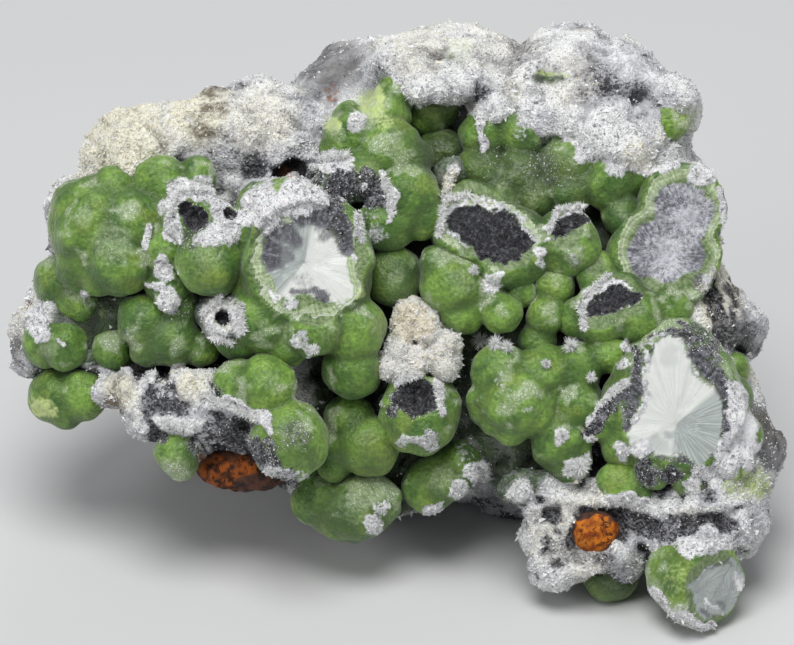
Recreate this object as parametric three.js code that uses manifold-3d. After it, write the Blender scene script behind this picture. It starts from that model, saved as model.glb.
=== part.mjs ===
// Wavellite on matrix: balls of green wavellite grown over a lump of grey, druse-coated rock.
// The specimen stands on its own flat underside. Millimetres, +Z up, +Y towards the back; the origin is the
// middle of the flat underside.
//
// The show face leans back, so what grew on it is placed in the face's own axes [u, v, w]: u to the right along
// the face, v up it and w straight out of it.
import * as THREE from "three";
import { mergeVertices } from "three/addons/utils/BufferGeometryUtils.js";
import Module from "manifold-3d";

const wasm = await Module();
wasm.setup();
const { Manifold, Mesh } = wasm;

// ---- Driving dimensions ----

const FACE_LEAN = THREE.MathUtils.degToRad(60); // from lying on its back to the way the face stands
const FACE_MIDDLE = new THREE.Vector3(0, -14.5, 26); // where the face's axes meet, in the part's frame
const GAP = 0.3; // clearance left between two pieces that touch
const DETAIL = 1; // subdivisions of the solids that balls and lobes start from
const SMALL_BALL = 3.15; // balls under this radius start from an octahedron, all else from an icosahedron
const BREAK_BLOCK = 30; // side of the block that takes the broken side off a ball
const FLOOR_BLOCK = 120; // side of the block that planes the underside flat

// The rock behind the show face, as overlapping lobes: middle [u, v, w] and half-axes along u, v and w.
const FACE_LOBES = [
  // upper left shelf, from the left end inwards
  [-25.8, 15.6, -9.0, 6.9, 6.9, 8.5],
  [-15.4, 17.2, -11.0, 10.0, 7.6, 9.0],
  // crest along the top
  [-3.4, 21.2, -15.6, 7.4, 8.2, 7.4],
  [5.6, 22.8, -13.4, 9.8, 8.2, 8.0],
  [17.6, 21.2, -11.0, 8.6, 9.8, 9.0],
  [27.4, 20.9, -9.0, 2.5, 2.7, 5.0],
  // right flank, from the top down
  [25.2, 9.4, -8.8, 7.4, 10.8, 8.0],
  [28.4, 0.2, -8.2, 7.8, 6.4, 8.0],
  [31.0, -12.0, -8.0, 7.0, 8.8, 8.2],
  [31.6, -18.4, -2.6, 5.6, 5.2, 5.6],
  // lower right slab
  [24.0, -19.2, -3.4, 6.6, 4.0, 4.6],
  [16.8, -21.2, -1.8, 4.2, 5.0, 3.4],
  // left end
  [-33.0, 9.4, -6.5, 3.0, 4.2, 4.6],
  [-32.6, 0.6, -10.8, 6.2, 8.6, 7.4],
  // left arm
  [-20.0, -8.6, -3.0, 6.4, 4.6, 5.4],
  [-13.5, -9.4, -5.0, 6.0, 5.2, 6.6],
  // middle, behind the balls
  [-15.0, 4.0, -13.0, 20.0, 13.0, 12.6],
  [8.0, 4.0, -14.0, 20.0, 17.0, 12.4],
  [-2.0, 13.4, -7.4, 5.4, 8.0, 6.0],
  [-3.0, -10.4, -11.0, 11.5, 9.6, 8.2],
  [17.0, -8.0, -9.0, 12.0, 11.0, 8.6],
];

// The foot of the rock, in the part's frame: middle [x, y, z] and half-axes along x, y and z.
const FOOT_LOBES = [
  [-8, 3, 9, 17, 9, 14],
  [16, 0, 10, 19, 13, 16],
  [-4, 5, 26, 24, 11, 15],
  [16, 4, 28, 16, 10, 15],
];

// Patches of other minerals on the rock, as lobes like those of the face.
const PATCHES = {
  pale_crust_lump: [
    [1.3, 0.2, -1.0, 1.9, 2.1, 2.6],
    [3.4, -2.9, 0.2, 2.7, 2.2, 2.8],
  ],
  limonite_nodule: [[19.8, -21.1, 0.6, 2.3, 2.0, 1.8]],
  limonite_seam: [[-15.2, -14.7, -3.6, 4.8, 2.1, 2.6]],
};

// Each aggregate of wavellite balls that grew together: [u, v, w, radius].
const AGGREGATES = {
  wavellite_split_fan: [
    [-8.8, 7.0, 2.6, 5.6],
    [-13.4, 6.4, 0.8, 3.4],
    [-8.3, -0.4, 3.4, 2.9],
    [-13.3, 0.5, 2.0, 3.3],
    [-4.6, -0.6, 1.4, 3.4],
    [-4.4, -4.5, 0.4, 3.0],
  ],
  wavellite_crater_pair: [
    [-18.6, 6.0, 2.2, 3.3],
    [-20.4, 10.7, 1.2, 3.0],
  ],
  wavellite_upper_left_crust: [
    [-23.9, 14.2, -1.6, 2.8],
    [-30.4, 11.3, -1.8, 3.3],
    [-31.2, 7.2, -1.4, 2.9],
    [-27.6, 6.3, 0.4, 2.9],
    [-26.6, 10.4, -0.2, 3.3],
    [-23.2, 7.4, 0.0, 2.9],
    [-22.8, 4.0, 0.0, 2.3],
  ],
  wavellite_left_pair: [
    [-25.4, -0.8, -1.2, 2.8],
    [-22.4, -1.8, -1.0, 2.5],
  ],
  wavellite_far_left_upper: [
    [-34.0, 4.2, -5.2, 2.7],
    [-32.0, 2.2, -4.4, 2.3],
  ],
  wavellite_far_left_middle: [
    [-35.4, -2.0, -5.0, 2.4],
    [-33.4, -2.3, -4.0, 2.4],
  ],
  wavellite_far_left_lower: [
    [-34.5, -7.4, -6.4, 2.8],
    [-31.9, -7.2, -5.6, 2.7],
  ],
  wavellite_lone_ball: [[-28.6, -2.7, -4.4, 2.3]],
  wavellite_column: [
    [1.2, 12.8, 0.4, 3.0],
    [-1.0, 10.0, 0.4, 2.8],
    [-0.6, 17.2, -1.0, 3.1],
    [-4.8, 18.6, -1.8, 2.4],
    [-1.0, 20.8, -3.0, 2.5],
  ],
  wavellite_under_crest: [[2.9, 22.1, -5.0, 2.8]],
  wavellite_recess_ball: [[4.6, 16.8, -5.0, 2.5]],
  wavellite_middle_ball: [[-0.4, 4.7, -0.8, 3.0]],
  wavellite_dark_split_pair: [
    [9.4, 8.6, -0.6, 5.0],
    [17.0, 7.9, -0.4, 3.3],
  ],
  wavellite_below_dark_split: [
    [5.4, 3.9, 0.2, 3.2],
    [6.9, 1.4, 0.4, 2.5],
    [10.2, 1.0, 0.6, 2.1],
  ],
  wavellite_small_pair: [
    [15.5, 3.0, -0.6, 2.4],
    [14.4, -0.6, -0.6, 2.5],
  ],
  wavellite_vug: [
    [8.7, 18.9, -4.0, 2.4],
    [12.8, 18.9, -3.8, 2.6],
    [8.6, 15.2, -3.2, 2.5],
    [12.4, 14.8, -3.2, 2.7],
    [17.2, 15.6, -2.8, 3.0],
    [21.2, 14.2, -1.8, 2.7],
  ],
  wavellite_heart_split: [
    [26.7, 6.8, -1.4, 5.4],
    [28.4, 11.4, -1.6, 4.5],
  ],
  wavellite_dark_split_small: [
    [20.4, 0.9, 0.6, 2.9],
    [23.8, 0.8, 0.4, 2.7],
    [27.2, 1.6, -0.8, 2.3],
  ],
  wavellite_right_mass: [
    [9.8, -4.9, 0.4, 2.7],
    [11.8, -8.0, 1.2, 3.7],
    [14.4, -5.2, 0.6, 2.8],
    [18.0, -4.6, 0.2, 2.5],
    [18.0, -8.2, 0.6, 2.5],
    [16.4, -11.8, 0.6, 2.9],
  ],
  wavellite_spray: [[27.7, -8.4, -0.4, 6.6]],
  wavellite_slab_top_ball: [[22.2, -16.0, 0.8, 2.2]],
  wavellite_toe: [
    [28.2, -25.0, 1.0, 3.4],
    [30.2, -25.8, 1.6, 4.3],
  ],
  wavellite_under_slab: [[21.4, -25.0, -2.2, 2.6]],
  wavellite_lower_middle: [
    [-2.8, -12.4, -1.6, 3.1],
    [-4.8, -9.6, -2.4, 2.5],
  ],
  wavellite_crater_lower: [[2.3, -9.0, -0.2, 4.0]],
  wavellite_bottom: [
    [-7.6, -17.8, -4.2, 2.8],
    [-3.8, -18.4, -3.8, 3.4],
  ],
  wavellite_bottom_right: [
    [3.2, -16.4, -4.2, 2.7],
    [5.8, -14.6, -4.0, 2.4],
  ],
  wavellite_arm: [
    [-13.6, -6.2, 2.8, 2.9],
    [-10.5, -11.4, 3.0, 3.7],
    [-12.4, -8.8, 2.6, 2.7],
  ],
  wavellite_arm_tip: [[-21.7, -13.4, 0.0, 2.2]],
  wavellite_right_edge_ball: [[33.7, -4.8, -4.2, 1.9]],
  wavellite_right_crest_ball: [[27.8, 19.2, -4.2, 2.1]],
};

// Where a ball is broken open: a point on the break and the way the break faces, both in face axes.
const BREAKS = {
  wavellite_split_fan: [[[-8.8, 7.3, 5.4], [0.05, 0.12, 1]]],
  wavellite_dark_split_pair: [[[9.4, 8.9, 2.0], [-0.05, 0.3, 1]]],
  wavellite_heart_split: [[[27.2, 9.0, 0.6], [0.12, 0.02, 1]]],
  wavellite_spray: [[[27.8, -8.6, 3.4], [0.1, 0.05, 1]]],
  wavellite_toe: [[[31.6, -27.0, 3.2], [0.75, -0.2, 1]]],
};

// Finish of each kind of surface.
const FINISHES = {
  matrix: { color: 0x8d8a86, roughness: 0.85, metalness: 0 },
  wavellite: { color: 0x5f9440, roughness: 0.4, metalness: 0 },
  pale_crust_lump: { color: 0xd8d0c0, roughness: 0.8, metalness: 0 },
  limonite_nodule: { color: 0xb4520e, roughness: 0.75, metalness: 0 },
  limonite_seam: { color: 0xa0450f, roughness: 0.75, metalness: 0 },
};

// ---- Placing ----

const faceTurn = new THREE.Matrix4().makeRotationX(FACE_LEAN);

// A point given in face axes, in the part's frame.
function seat(u, v, w) {
  return new THREE.Vector3(u, v, w).applyMatrix4(faceTurn).add(FACE_MIDDLE);
}

// ---- Shapes ----

// A closed three.js geometry as a solid that can be joined and cut.
function solid(geometry) {
  geometry.deleteAttribute("normal");
  geometry.deleteAttribute("uv");
  const merged = mergeVertices(geometry);
  return new Manifold(
    new Mesh({
      numProp: 3,
      vertProperties: merged.attributes.position.array,
      triVerts: new Uint32Array(merged.index.array),
    }),
  );
}

function joined(solids) {
  return solids.reduce((sum, next) => sum.add(next));
}

function cut(body, takenAway) {
  return takenAway.reduce((left, next) => left.subtract(next), body);
}

function largestPiece(body) {
  return body.decompose().sort((a, b) => b.volume() - a.volume())[0];
}

function ball([u, v, w, radius], extra) {
  const Start = radius < SMALL_BALL ? THREE.OctahedronGeometry : THREE.IcosahedronGeometry;
  const { x, y, z } = seat(u, v, w);
  return solid(new Start(radius + extra, DETAIL).translate(x, y, z));
}

// An ellipsoid with its half-axes along the face's axes.
function faceLobe([u, v, w, ...halves], extra) {
  const { x, y, z } = seat(u, v, w);
  const sizes = halves.map((half) => half + extra);
  const round = new THREE.IcosahedronGeometry(1, DETAIL).scale(...sizes);
  return solid(round.applyMatrix4(faceTurn).translate(x, y, z));
}

// An ellipsoid with its half-axes along the part's axes.
function footLobe([x, y, z, ...halves], extra) {
  const sizes = halves.map((half) => half + extra);
  return solid(new THREE.IcosahedronGeometry(1, DETAIL).scale(...sizes).translate(x, y, z));
}

// The block on the broken side of a ball: its lower face, turned and moved, is the break.
function breakBlock([point, facing]) {
  const turn = new THREE.Quaternion().setFromUnitVectors(
    new THREE.Vector3(0, 0, 1),
    new THREE.Vector3(...facing).normalize(),
  );
  const { x, y, z } = seat(...point);
  const block = new THREE.BoxGeometry(BREAK_BLOCK, BREAK_BLOCK, BREAK_BLOCK);
  block.translate(0, 0, BREAK_BLOCK / 2).applyQuaternion(turn);
  return solid(block.applyMatrix4(faceTurn).translate(x, y, z));
}

// All that lies below the flat underside.
function floorBlock() {
  const block = new THREE.BoxGeometry(FLOOR_BLOCK, FLOOR_BLOCK, FLOOR_BLOCK);
  return solid(block.translate(0, 0, -FLOOR_BLOCK / 2));
}

// ---- Pieces, each also made larger by an extra all round, for its neighbours to keep clear of ----

function rock(extra) {
  const face = FACE_LOBES.map((row) => faceLobe(row, extra));
  const foot = FOOT_LOBES.map((row) => footLobe(row, extra));
  return joined([...face, ...foot]);
}

function patch(name, extra) {
  return joined(PATCHES[name].map((row) => faceLobe(row, extra)));
}

function aggregate(name, extra) {
  return joined(AGGREGATES[name].map((row) => ball(row, extra)));
}

// Everything on the rock, each piece cut back from the rock and from the pieces before it.
function grownPieces() {
  const pieces = new Map();
  const taken = [rock(GAP)];
  const grow = (name, shape, breaks) => {
    const whole = cut(shape(name, 0), breaks.map(breakBlock));
    pieces.set(name, largestPiece(cut(whole, taken)));
    taken.push(shape(name, GAP));
  };
  for (const name of Object.keys(PATCHES)) grow(name, patch, []);
  for (const name of Object.keys(AGGREGATES)) grow(name, aggregate, BREAKS[name] ?? []);
  return pieces;
}

// ---- The part ----

function meshOf(name, body, finish) {
  const { vertProperties, triVerts } = body.getMesh();
  const geometry = new THREE.BufferGeometry()
    .setAttribute("position", new THREE.BufferAttribute(vertProperties, 3))
    .setIndex(new THREE.BufferAttribute(triVerts, 1));
  const mesh = new THREE.Mesh(geometry, new THREE.MeshStandardMaterial(finish));
  mesh.name = name;
  return mesh;
}

const specimen = new THREE.Group();
specimen.add(meshOf("matrix", cut(rock(0), [floorBlock()]), FINISHES.matrix));
for (const [name, body] of grownPieces()) {
  specimen.add(meshOf(name, body, FINISHES[name] ?? FINISHES.wavellite));
}

export default specimen;
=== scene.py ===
import math
import bpy
import numpy as np
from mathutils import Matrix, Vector


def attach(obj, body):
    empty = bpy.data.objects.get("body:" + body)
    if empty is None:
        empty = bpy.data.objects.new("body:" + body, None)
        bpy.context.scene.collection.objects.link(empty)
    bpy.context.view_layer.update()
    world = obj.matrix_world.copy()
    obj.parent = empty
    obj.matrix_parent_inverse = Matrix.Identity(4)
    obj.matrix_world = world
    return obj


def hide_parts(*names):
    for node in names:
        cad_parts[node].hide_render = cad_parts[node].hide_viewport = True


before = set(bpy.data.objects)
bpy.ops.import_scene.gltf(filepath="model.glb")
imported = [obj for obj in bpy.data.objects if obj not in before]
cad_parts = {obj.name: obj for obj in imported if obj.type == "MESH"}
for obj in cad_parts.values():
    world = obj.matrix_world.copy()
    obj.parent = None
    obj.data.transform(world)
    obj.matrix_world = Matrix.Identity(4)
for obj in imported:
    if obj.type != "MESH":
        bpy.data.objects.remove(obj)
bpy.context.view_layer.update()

# Wavellite on matrix. Shapes are worked out in millimetres, as signed distances that are negative inside,
# and become meshes in metres. What grew on the show face is placed in the face's own axes [u, v, w], as in
# the CAD: u to the right along the face, v up it, w straight out of it.

# ---- Frame ----

METRES = 0.001
LEAN = math.radians(60)
FACE_MIDDLE = np.array([0.0, -14.5, 26.0])
FACE_TURN = np.array([
    [1.0, 0.0, 0.0],
    [0.0, math.cos(LEAN), -math.sin(LEAN)],
    [0.0, math.sin(LEAN), math.cos(LEAN)],
])
CAMERA_DISTANCE = 441.0
LENS = 200.0

# ---- Rock: lobes as middle and half-axes ----

FACE_LOBES = [
    # upper left shelf
    [-25.6, 15.5, -9, 6.4, 6.7, 8.5], [-15.4, 17.2, -11, 10, 7.2, 9],
    # crest
    [-3.2, 21, -15.6, 7.4, 7.8, 7.4], [5.6, 22.6, -13.4, 9.8, 7.7, 8], [17.6, 21.1, -11, 8.4, 9.2, 9],
    [27.4, 20.9, -9, 2.5, 2.7, 5],
    # right flank
    [25, 9.2, -8.8, 6.9, 10.2, 8], [28, -0.6, -8.2, 7.3, 6, 8], [31, -12, -8, 7, 8.8, 8.2],
    [31.6, -18.4, -2.6, 5.6, 5.2, 5.6],
    # lower right slab
    [24, -19.2, -3.4, 6.6, 4, 4.6], [16.8, -21.2, -1.8, 4.2, 5, 3.4],
    # left end
    [-33, 9.4, -6.5, 3, 4.2, 4.6], [-32.2, 0.4, -10.8, 6, 8.2, 7.4],
    # left arm
    [-20, -8.6, -3, 6.4, 4.6, 5.4], [-13.5, -9.4, -5, 6, 5.2, 6.6],
    # middle, behind the balls
    [-15, 4, -13, 20, 13, 12.6], [8, 4, -14, 20, 17, 12.4], [-2, 13.4, -7.4, 5.4, 8, 6],
    [-3, -10.4, -11, 11.5, 9.6, 8.2], [17, -8, -9, 12, 11, 8.6],
    # small lumps that the CAD leaves out, on the arm, the crest, the slab, both ends and among the balls
    [-17.2, 0.3, 0.4, 2.2, 2.2, 2.6], [-28.4, -7.3, -3.6, 1.6, 0.6, 0.8], [-26.4, -6.6, -2.8, 1.6, 1, 1.4],
    [9, 23.2, -5.4, 2.6, 2.4, 2.6], [12.4, -16.9, 0.2, 1.9, 0.8, 1.1], [-13.2, 12.6, -1.4, 3, 2, 2.6],
    [22.4, -23.2, -0.8, 2.4, 2.2, 2.2], [15.4, -24.4, -1.4, 2.2, 2.2, 2.2],
    [19.4, 19.6, -3.6, 5.2, 1.7, 2.2], [22.2, 17.2, -1.8, 2.8, 1.6, 1.9],
    [12.6, 21.6, -4.6, 4.6, 1.8, 2.4], [28.6, 22.4, -6.2, 1.9, 2.2, 3], [2.5, 23.2, -2.6, 1.5, 1.2, 1.6],
    [5.8, 23.8, -3, 2.4, 1.6, 2.2], [0.4, 26, -5.8, 2.6, 2, 2.6], [23.9, 25.8, -11, 3.2, 3.4, 6],
    [-7, 22.4, -15.4, 3, 3, 4.4], [34.6, -13, -6.4, 3.6, 5.6, 4.4], [33.4, -20.4, -1.4, 3.6, 3.2, 3.4],
    [29.8, -21.4, 0.9, 3.8, 1.6, 2.2], [35.2, -0.8, -8, 1.8, 2.2, 2.6], [35.1, -10.2, -7.5, 1.9, 3, 3],
    [-37.2, -3, -8, 1.5, 1.6, 2.2], [5, 13.9, -1.8, 0.6, 1.9, 1], [-20.6, -6.4, -0.4, 3, 1.8, 3],
    [-17.6, -9.8, 1.2, 2.4, 1.6, 2.4], [-23.6, -9.2, -0.6, 2.4, 3, 2.8],
]
FOOT_LOBES = [
    [-8, 3, 9, 17, 9, 14], [16, 0, 10, 19, 13, 16], [-4, 5, 26, 24, 11, 15], [16, 4, 28, 16, 10, 15],
]
ROCK_BLEND = 0.9
ROCK_STEP = 0.45
ROCK_ROUGHNESS = 2.8  # how far from the smooth lobes the rough surface can be
ROCK_BOX = [[-40.6, -34.6, -0.9], [40.4, 19.6, 51.6]]
CROWD_REACH = 3  # in steps of the rock's grid

# ---- Patches of other minerals, as lobes of the face ----

PATCHES = {
    "pale_crust_lump": [
        [1.6, 0.9, 0.2, 1.7, 1.5, 2.2], [3, -0.5, 0.6, 1.5, 1.7, 2.2], [0.8, -0.7, 0.3, 1.2, 1.3, 1.9],
        [4.6, -2.4, 0.5, 1.7, 1.7, 2.1], [4.6, -4.3, 0.6, 1.5, 1.5, 2], [2.2, -3.6, 0.6, 1.4, 1.5, 2],
        [0.4, -2.9, 0.6, 1.5, 1.4, 2], [-0.5, -4.5, 0.8, 1.4, 1.1, 1.5], [1.4, -4.9, 1.2, 1.4, 1, 1.5],
    ],
    "limonite_nodule": [[19.8, -20.9, 1.3, 2.35, 2.2, 1.6]],
    "limonite_seam": [[-15.2, -14.7, -3.6, 4.8, 2.1, 2.6]],
}
PATCH_BLEND = 0.18
PATCH_STEP = 0.21
PATCH_CRUMB = 0.05  # loose parts with a smaller share of a patch's corners are dropped

# ---- Balls of each aggregate of wavellite: [u, v, w, radius] ----

BALLS = {
    "split_fan": [
        [-8.9, 6, 2.2, 6.5], [-6.2, 3.9, 2.8, 3.3], [-13.4, 6.4, 0.8, 3.4], [-8.3, -0.4, 3.4, 2.9],
        [-13.3, 0.5, 2, 3.3], [-4.6, -0.6, 1.4, 3.4], [-4.4, -4.5, 0.4, 3], [-10.9, -2, 2.2, 2.2],
        [-15.7, -1.6, 1, 2.2], [-14.4, 3.5, 1, 2.2], [-14.6, 8.8, 1.6, 2.3], [-13.8, 11.8, 1.4, 2],
        [-11.2, 12.2, 2, 2], [-9.4, 12, 2, 1.7],
    ],
    "crater_pair": [
        [-18.6, 6, 2.2, 3.3], [-20.4, 10.7, 1.2, 3], [-17.4, 9.4, 1.2, 2.2], [-23.2, 5.4, 1.4, 0.9],
        [-22.9, 2.5, 1, 1.3],
    ],
    "upper_left_crust": [
        [-23.9, 14, -1.6, 2.8], [-30.1, 9.8, -2.6, 5], [-31.4, 6.8, -1.8, 2.8], [-27.6, 5.9, 0.4, 3],
        [-26.4, 10, -0.4, 3.4], [-23.2, 7.4, 0, 2.9], [-22.8, 4, 0, 2.3], [-28.4, 13.2, -1.4, 2.4],
        [-32, 9.4, -1.8, 2.4], [-20, 14.9, -1.4, 1.7], [-32, 12, -2.2, 2], [-31.8, 5.2, -1.8, 2.1],
        [-29.8, 4.8, -0.8, 2],
    ],
    "left_pair": [
        [-25.3, 0.2, -1, 2.7], [-22.6, -1.7, -0.8, 2.7], [-24.9, -2.6, -1.1, 1.8], [-19.6, -2.6, -1, 1.8],
        [-21.8, 1.5, -0.8, 2],
    ],
    "far_left_upper": [[-34, 4.2, -5.2, 2.7], [-32, 2.2, -4.4, 2.3]],
    "far_left_middle": [[-35.4, -2, -5, 2.4], [-33.4, -2.3, -4, 2.4], [-36, 0.2, -5.4, 1.7]],
    "far_left_lower": [
        [-34.5, -7.4, -6.4, 2.8], [-31.9, -7.2, -5.6, 2.7], [-33.6, -8.9, -5.8, 1.9],
    ],
    "lone_ball": [[-28.6, -2.7, -4.4, 2.3]],
    "column": [
        [1.2, 12.8, 0.4, 3], [-1, 10, 0.4, 2.8], [-0.6, 17.2, -1, 3.1], [-4.8, 18.6, -1.8, 2.4],
        [-1, 20.8, -3, 2.3], [-0.2, 22.9, -3.8, 1.9], [2.6, 10.6, 0.2, 2.2], [1.5, 16.4, -0.9, 2.1],
        [-4.8, 20.6, -2.6, 1.6], [-6, 17.6, -2.2, 1.6], [-3.2, 14.6, -0.4, 2.4], [-6.2, 13.8, 0, 2.2],
    ],
    "under_crest": [[2.9, 21.4, -6, 2.5], [4.9, 21.9, -6.2, 1.9]],
    "recess_ball": [[4.5, 16.9, -5.7, 2.6]],
    "middle_ball": [[-0.4, 4.7, -0.8, 3]],
    "dark_split_pair": [[7.6, 9.7, -0.6, 4.3], [11.2, 7.4, -0.6, 4.3], [17, 7.9, -0.4, 3.3]],
    "below_dark_split": [
        [5.4, 3.9, 0.2, 3.2], [6.5, 1.2, -0.1, 2.4], [10.5, 0.9, 1.4, 1.9], [4.4, 5.6, 0, 2.2],
        [9, 3.2, 0, 1.9], [12.5, 3, 0, 1.4],
    ],
    "small_pair": [[15.7, 3.8, -0.6, 2.1], [14.9, 0.7, 0.3, 1.9], [14, -2, -0.6, 1.9]],
    "vug": [
        [8.7, 18.9, -4, 2.4], [12.8, 18.9, -3.8, 2.6], [8.6, 15.2, -3.2, 2.5], [12.4, 14.8, -3.2, 2.7],
        [17.2, 15.6, -2.8, 3], [21.2, 14.2, -1.8, 2.7], [10.8, 20.4, -4, 1.9], [16, 19, -3.6, 1.9],
        [10.3, 12.4, -2.4, 2.2], [13.8, 12.4, -2.2, 1.9], [17.4, 13.2, -1.8, 2], [20.8, 16.8, -2.6, 2],
        [23.9, 14.8, -2.2, 2], [22.6, 10.8, -1.4, 1.9],
    ],
    "heart_split": [[26.9, 6.9, -1.4, 5.5], [28.5, 11.4, -1.6, 4.5]],
    "dark_split_small": [
        [20.4, 0.9, 0.6, 2.9], [23.8, 0.8, 0.4, 2.7], [27.2, 1.6, -0.8, 2.3], [22.2, 2.6, 0.2, 2.5],
        [20, 5, -0.6, 2.2], [17.9, 0.4, 0, 1.9],
    ],
    "right_mass": [
        [10.2, -4.9, 0.6, 2.8], [11.8, -8, 1.2, 3.7], [14.4, -5.2, 0.6, 2.8], [18, -4.6, 0.2, 2.5],
        [18, -8.2, 0.6, 2.5], [16.4, -11.8, 0.6, 2.9], [9.2, -8, 0.8, 2.3], [21, -3, 0, 2.2],
        [17, -13.8, 0.4, 2.1],
    ],
    "spray": [
        [27.6, -8.4, -0.4, 7], [27.4, -4.2, -0.6, 4.8], [20.6, -9.8, 1.4, 1.9], [22.2, -7.8, 1.8, 1.8],
        [23.4, -5, 1.6, 1.8], [22.4, -12.4, 1.2, 1.9], [25.4, -14.6, 1.2, 2], [29.4, -15.4, 0.8, 2.1],
        [32.8, -14, 0.2, 2.3], [34.2, -11.2, -1, 2.2], [33.6, -7.4, -1.4, 2], [30.6, -3, -0.6, 1.9],
    ],
    "slab_top_ball": [[22.2, -16, 0.8, 2.2], [24, -17, 0.6, 1.4]],
    "toe": [[28.2, -25, 1, 3.4], [30.2, -25.8, 1.6, 4.3]],
    "under_slab": [[21.6, -25.3, -3.4, 2.8]],
    "lower_middle": [
        [-2.8, -12.4, -1.6, 3.1], [-4.8, -9.6, -2.4, 2.5], [-5.6, -12.8, -1.9, 1.8],
        [-6.3, -14.6, -2.3, 1.6],
    ],
    "crater_lower": [[2.3, -9, -0.2, 4]],
    "bottom": [
        [-7.6, -17.8, -4.2, 2.8], [-3.8, -18.4, -3.8, 3.4], [-5.8, -19.4, -3.6, 2.4],
        [-2.2, -18, -3.4, 2.4],
    ],
    "bottom_right": [
        [3.2, -16.4, -4.2, 2.7], [5.8, -14.6, -4, 2.4], [4.4, -15.8, -3.6, 2.4], [7, -13.4, -4, 1.5],
    ],
    "arm": [
        [-13, -6.3, 2.8, 3], [-10.7, -11.7, 3, 3.9], [-12.8, -8.8, 2.2, 2.2], [-15.9, -6, 2.2, 2.3],
    ],
    "arm_tip": [[-22.1, -12.9, 0, 2.1], [-21.6, -14.2, -0.4, 1.6]],
    "right_edge_ball": [[33.7, -4.8, -4.2, 1.9]],
    "right_crest_ball": [[27.5, 20.3, -4.4, 1.9]],
}
BALL_STEP = 0.25
BALL_BLEND = 0.18
BALL_ROUGHNESS = 0.8
BALL_SEED = 100
CRUMB = 0.02  # the same share for balls and rock
JUST_INSIDE = -0.02  # the distance given to a place that is filled to keep a skin clean
GOLDEN_ANGLE = 2.39996  # spreads swellings evenly over a ball
BURIED = 0.9  # how deep in the rock a ball or patch is kept
MARGIN = 1.2  # free space round a ball or patch in its own grid

# How lumpy each aggregate's balls are, where that isn't usual.
LUMPINESS = {
    "right_mass": 1.5,
    "upper_left_crust": 1.1,
    "vug": 1.2,
    "bottom": 1.5,
    "lone_ball": 0.4,
    "far_left_lower": 0.5,
    "arm": 0.5,
    "column": 1,
    "small_pair": 0.6,
    "lower_middle": 0.5,
}
USUAL_LUMPINESS = 0.8

# Broken faces: a point on the break, the way it faces, where its fibres start, and what lies round its core.
BREAKS = {
    "split_fan": [[-8.8, 6.6, 5], [0.05, 0.04, 1], [[-9.1, 6, 5]], "lip"],
    "dark_split_pair": [[9.4, 8.9, 2], [-0.05, 0.3, 1], [[9.4, 8.6, 2]], "lip"],
    "heart_split": [
        [27.2, 9, 0.6], [0.12, 0.02, 1], [[29.2, 10.6, 0.6], [26.7, 6.8, 0.8]], "bands",
    ],
    "spray": [[27.8, -8.6, 3.4], [0.1, 0.05, 1], [[27.7, -10, 3.4]], "druse"],
    "toe": [[31.6, -27, 3.2], [0.75, -0.2, 1], [[29.6, -26.4, 4.2], [33, -28.6, 2.2]], "lip"],
    "dark_split_small": [[21.6, 1.8, 2.7], [-0.1, 0.35, 1], [[21.6, 1.6, 3]], "lip"],
}

# Outer edges of broken shells, [u, v] all round, where their banded rinds don't follow the skin.
RINDS = {
    "split_fan": [
        [-13.2, 3], [-13, 2.2], [-12.5, 1.4], [-11.7, 0.8], [-10.7, 0.6], [-9.5, 0.7], [-8.9, 1],
        [-8.3, 0.8], [-7.2, 0.7], [-6.2, 0.8], [-5.7, 1.2], [-4.7, 1.3], [-4.1, 2.3], [-3.6, 3.2],
        [-4, 4.3], [-4.3, 5.5], [-4.2, 7.4], [-4.4, 9], [-5.6, 10.8], [-7.6, 11.6], [-9.6, 11.2],
        [-11, 10.6], [-12.8, 9.6], [-13.7, 8.6], [-14.3, 7.2], [-14.2, 5.7], [-13.9, 4.4],
    ],
    "dark_split_pair": [
        [3.9, 9.6], [4.6, 12], [6, 12.9], [7.8, 12.8], [9.4, 12.2], [11.2, 12.2], [12.6, 11.4], [13.4, 10],
        [14.6, 8.8], [15, 7], [14.4, 5.4], [13.8, 4], [12, 4.2], [9.6, 4.4], [8, 5.2], [6.2, 6.2],
        [5, 7.6], [4.2, 8.4],
    ],
}

# Grey, clear wedges of silky faces: from one angle to another round the start of the fibres, in degrees.
WEDGES = {
    "split_fan": [76, 236],
    "spray": [-102, 42],
    "toe": [-200, 200],
}

# How far from [u, v] a break reaches, where it would cut more than its own ball.
BREAK_REACH = {
    "split_fan": [-8.7, 5.9, 5.8],
}

# Aggregates whose inside shows.
OPEN_BALLS = [
    "split_fan", "dark_split_pair", "heart_split", "dark_split_small", "spray", "toe",
    "crater_pair", "crater_lower",
]

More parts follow.
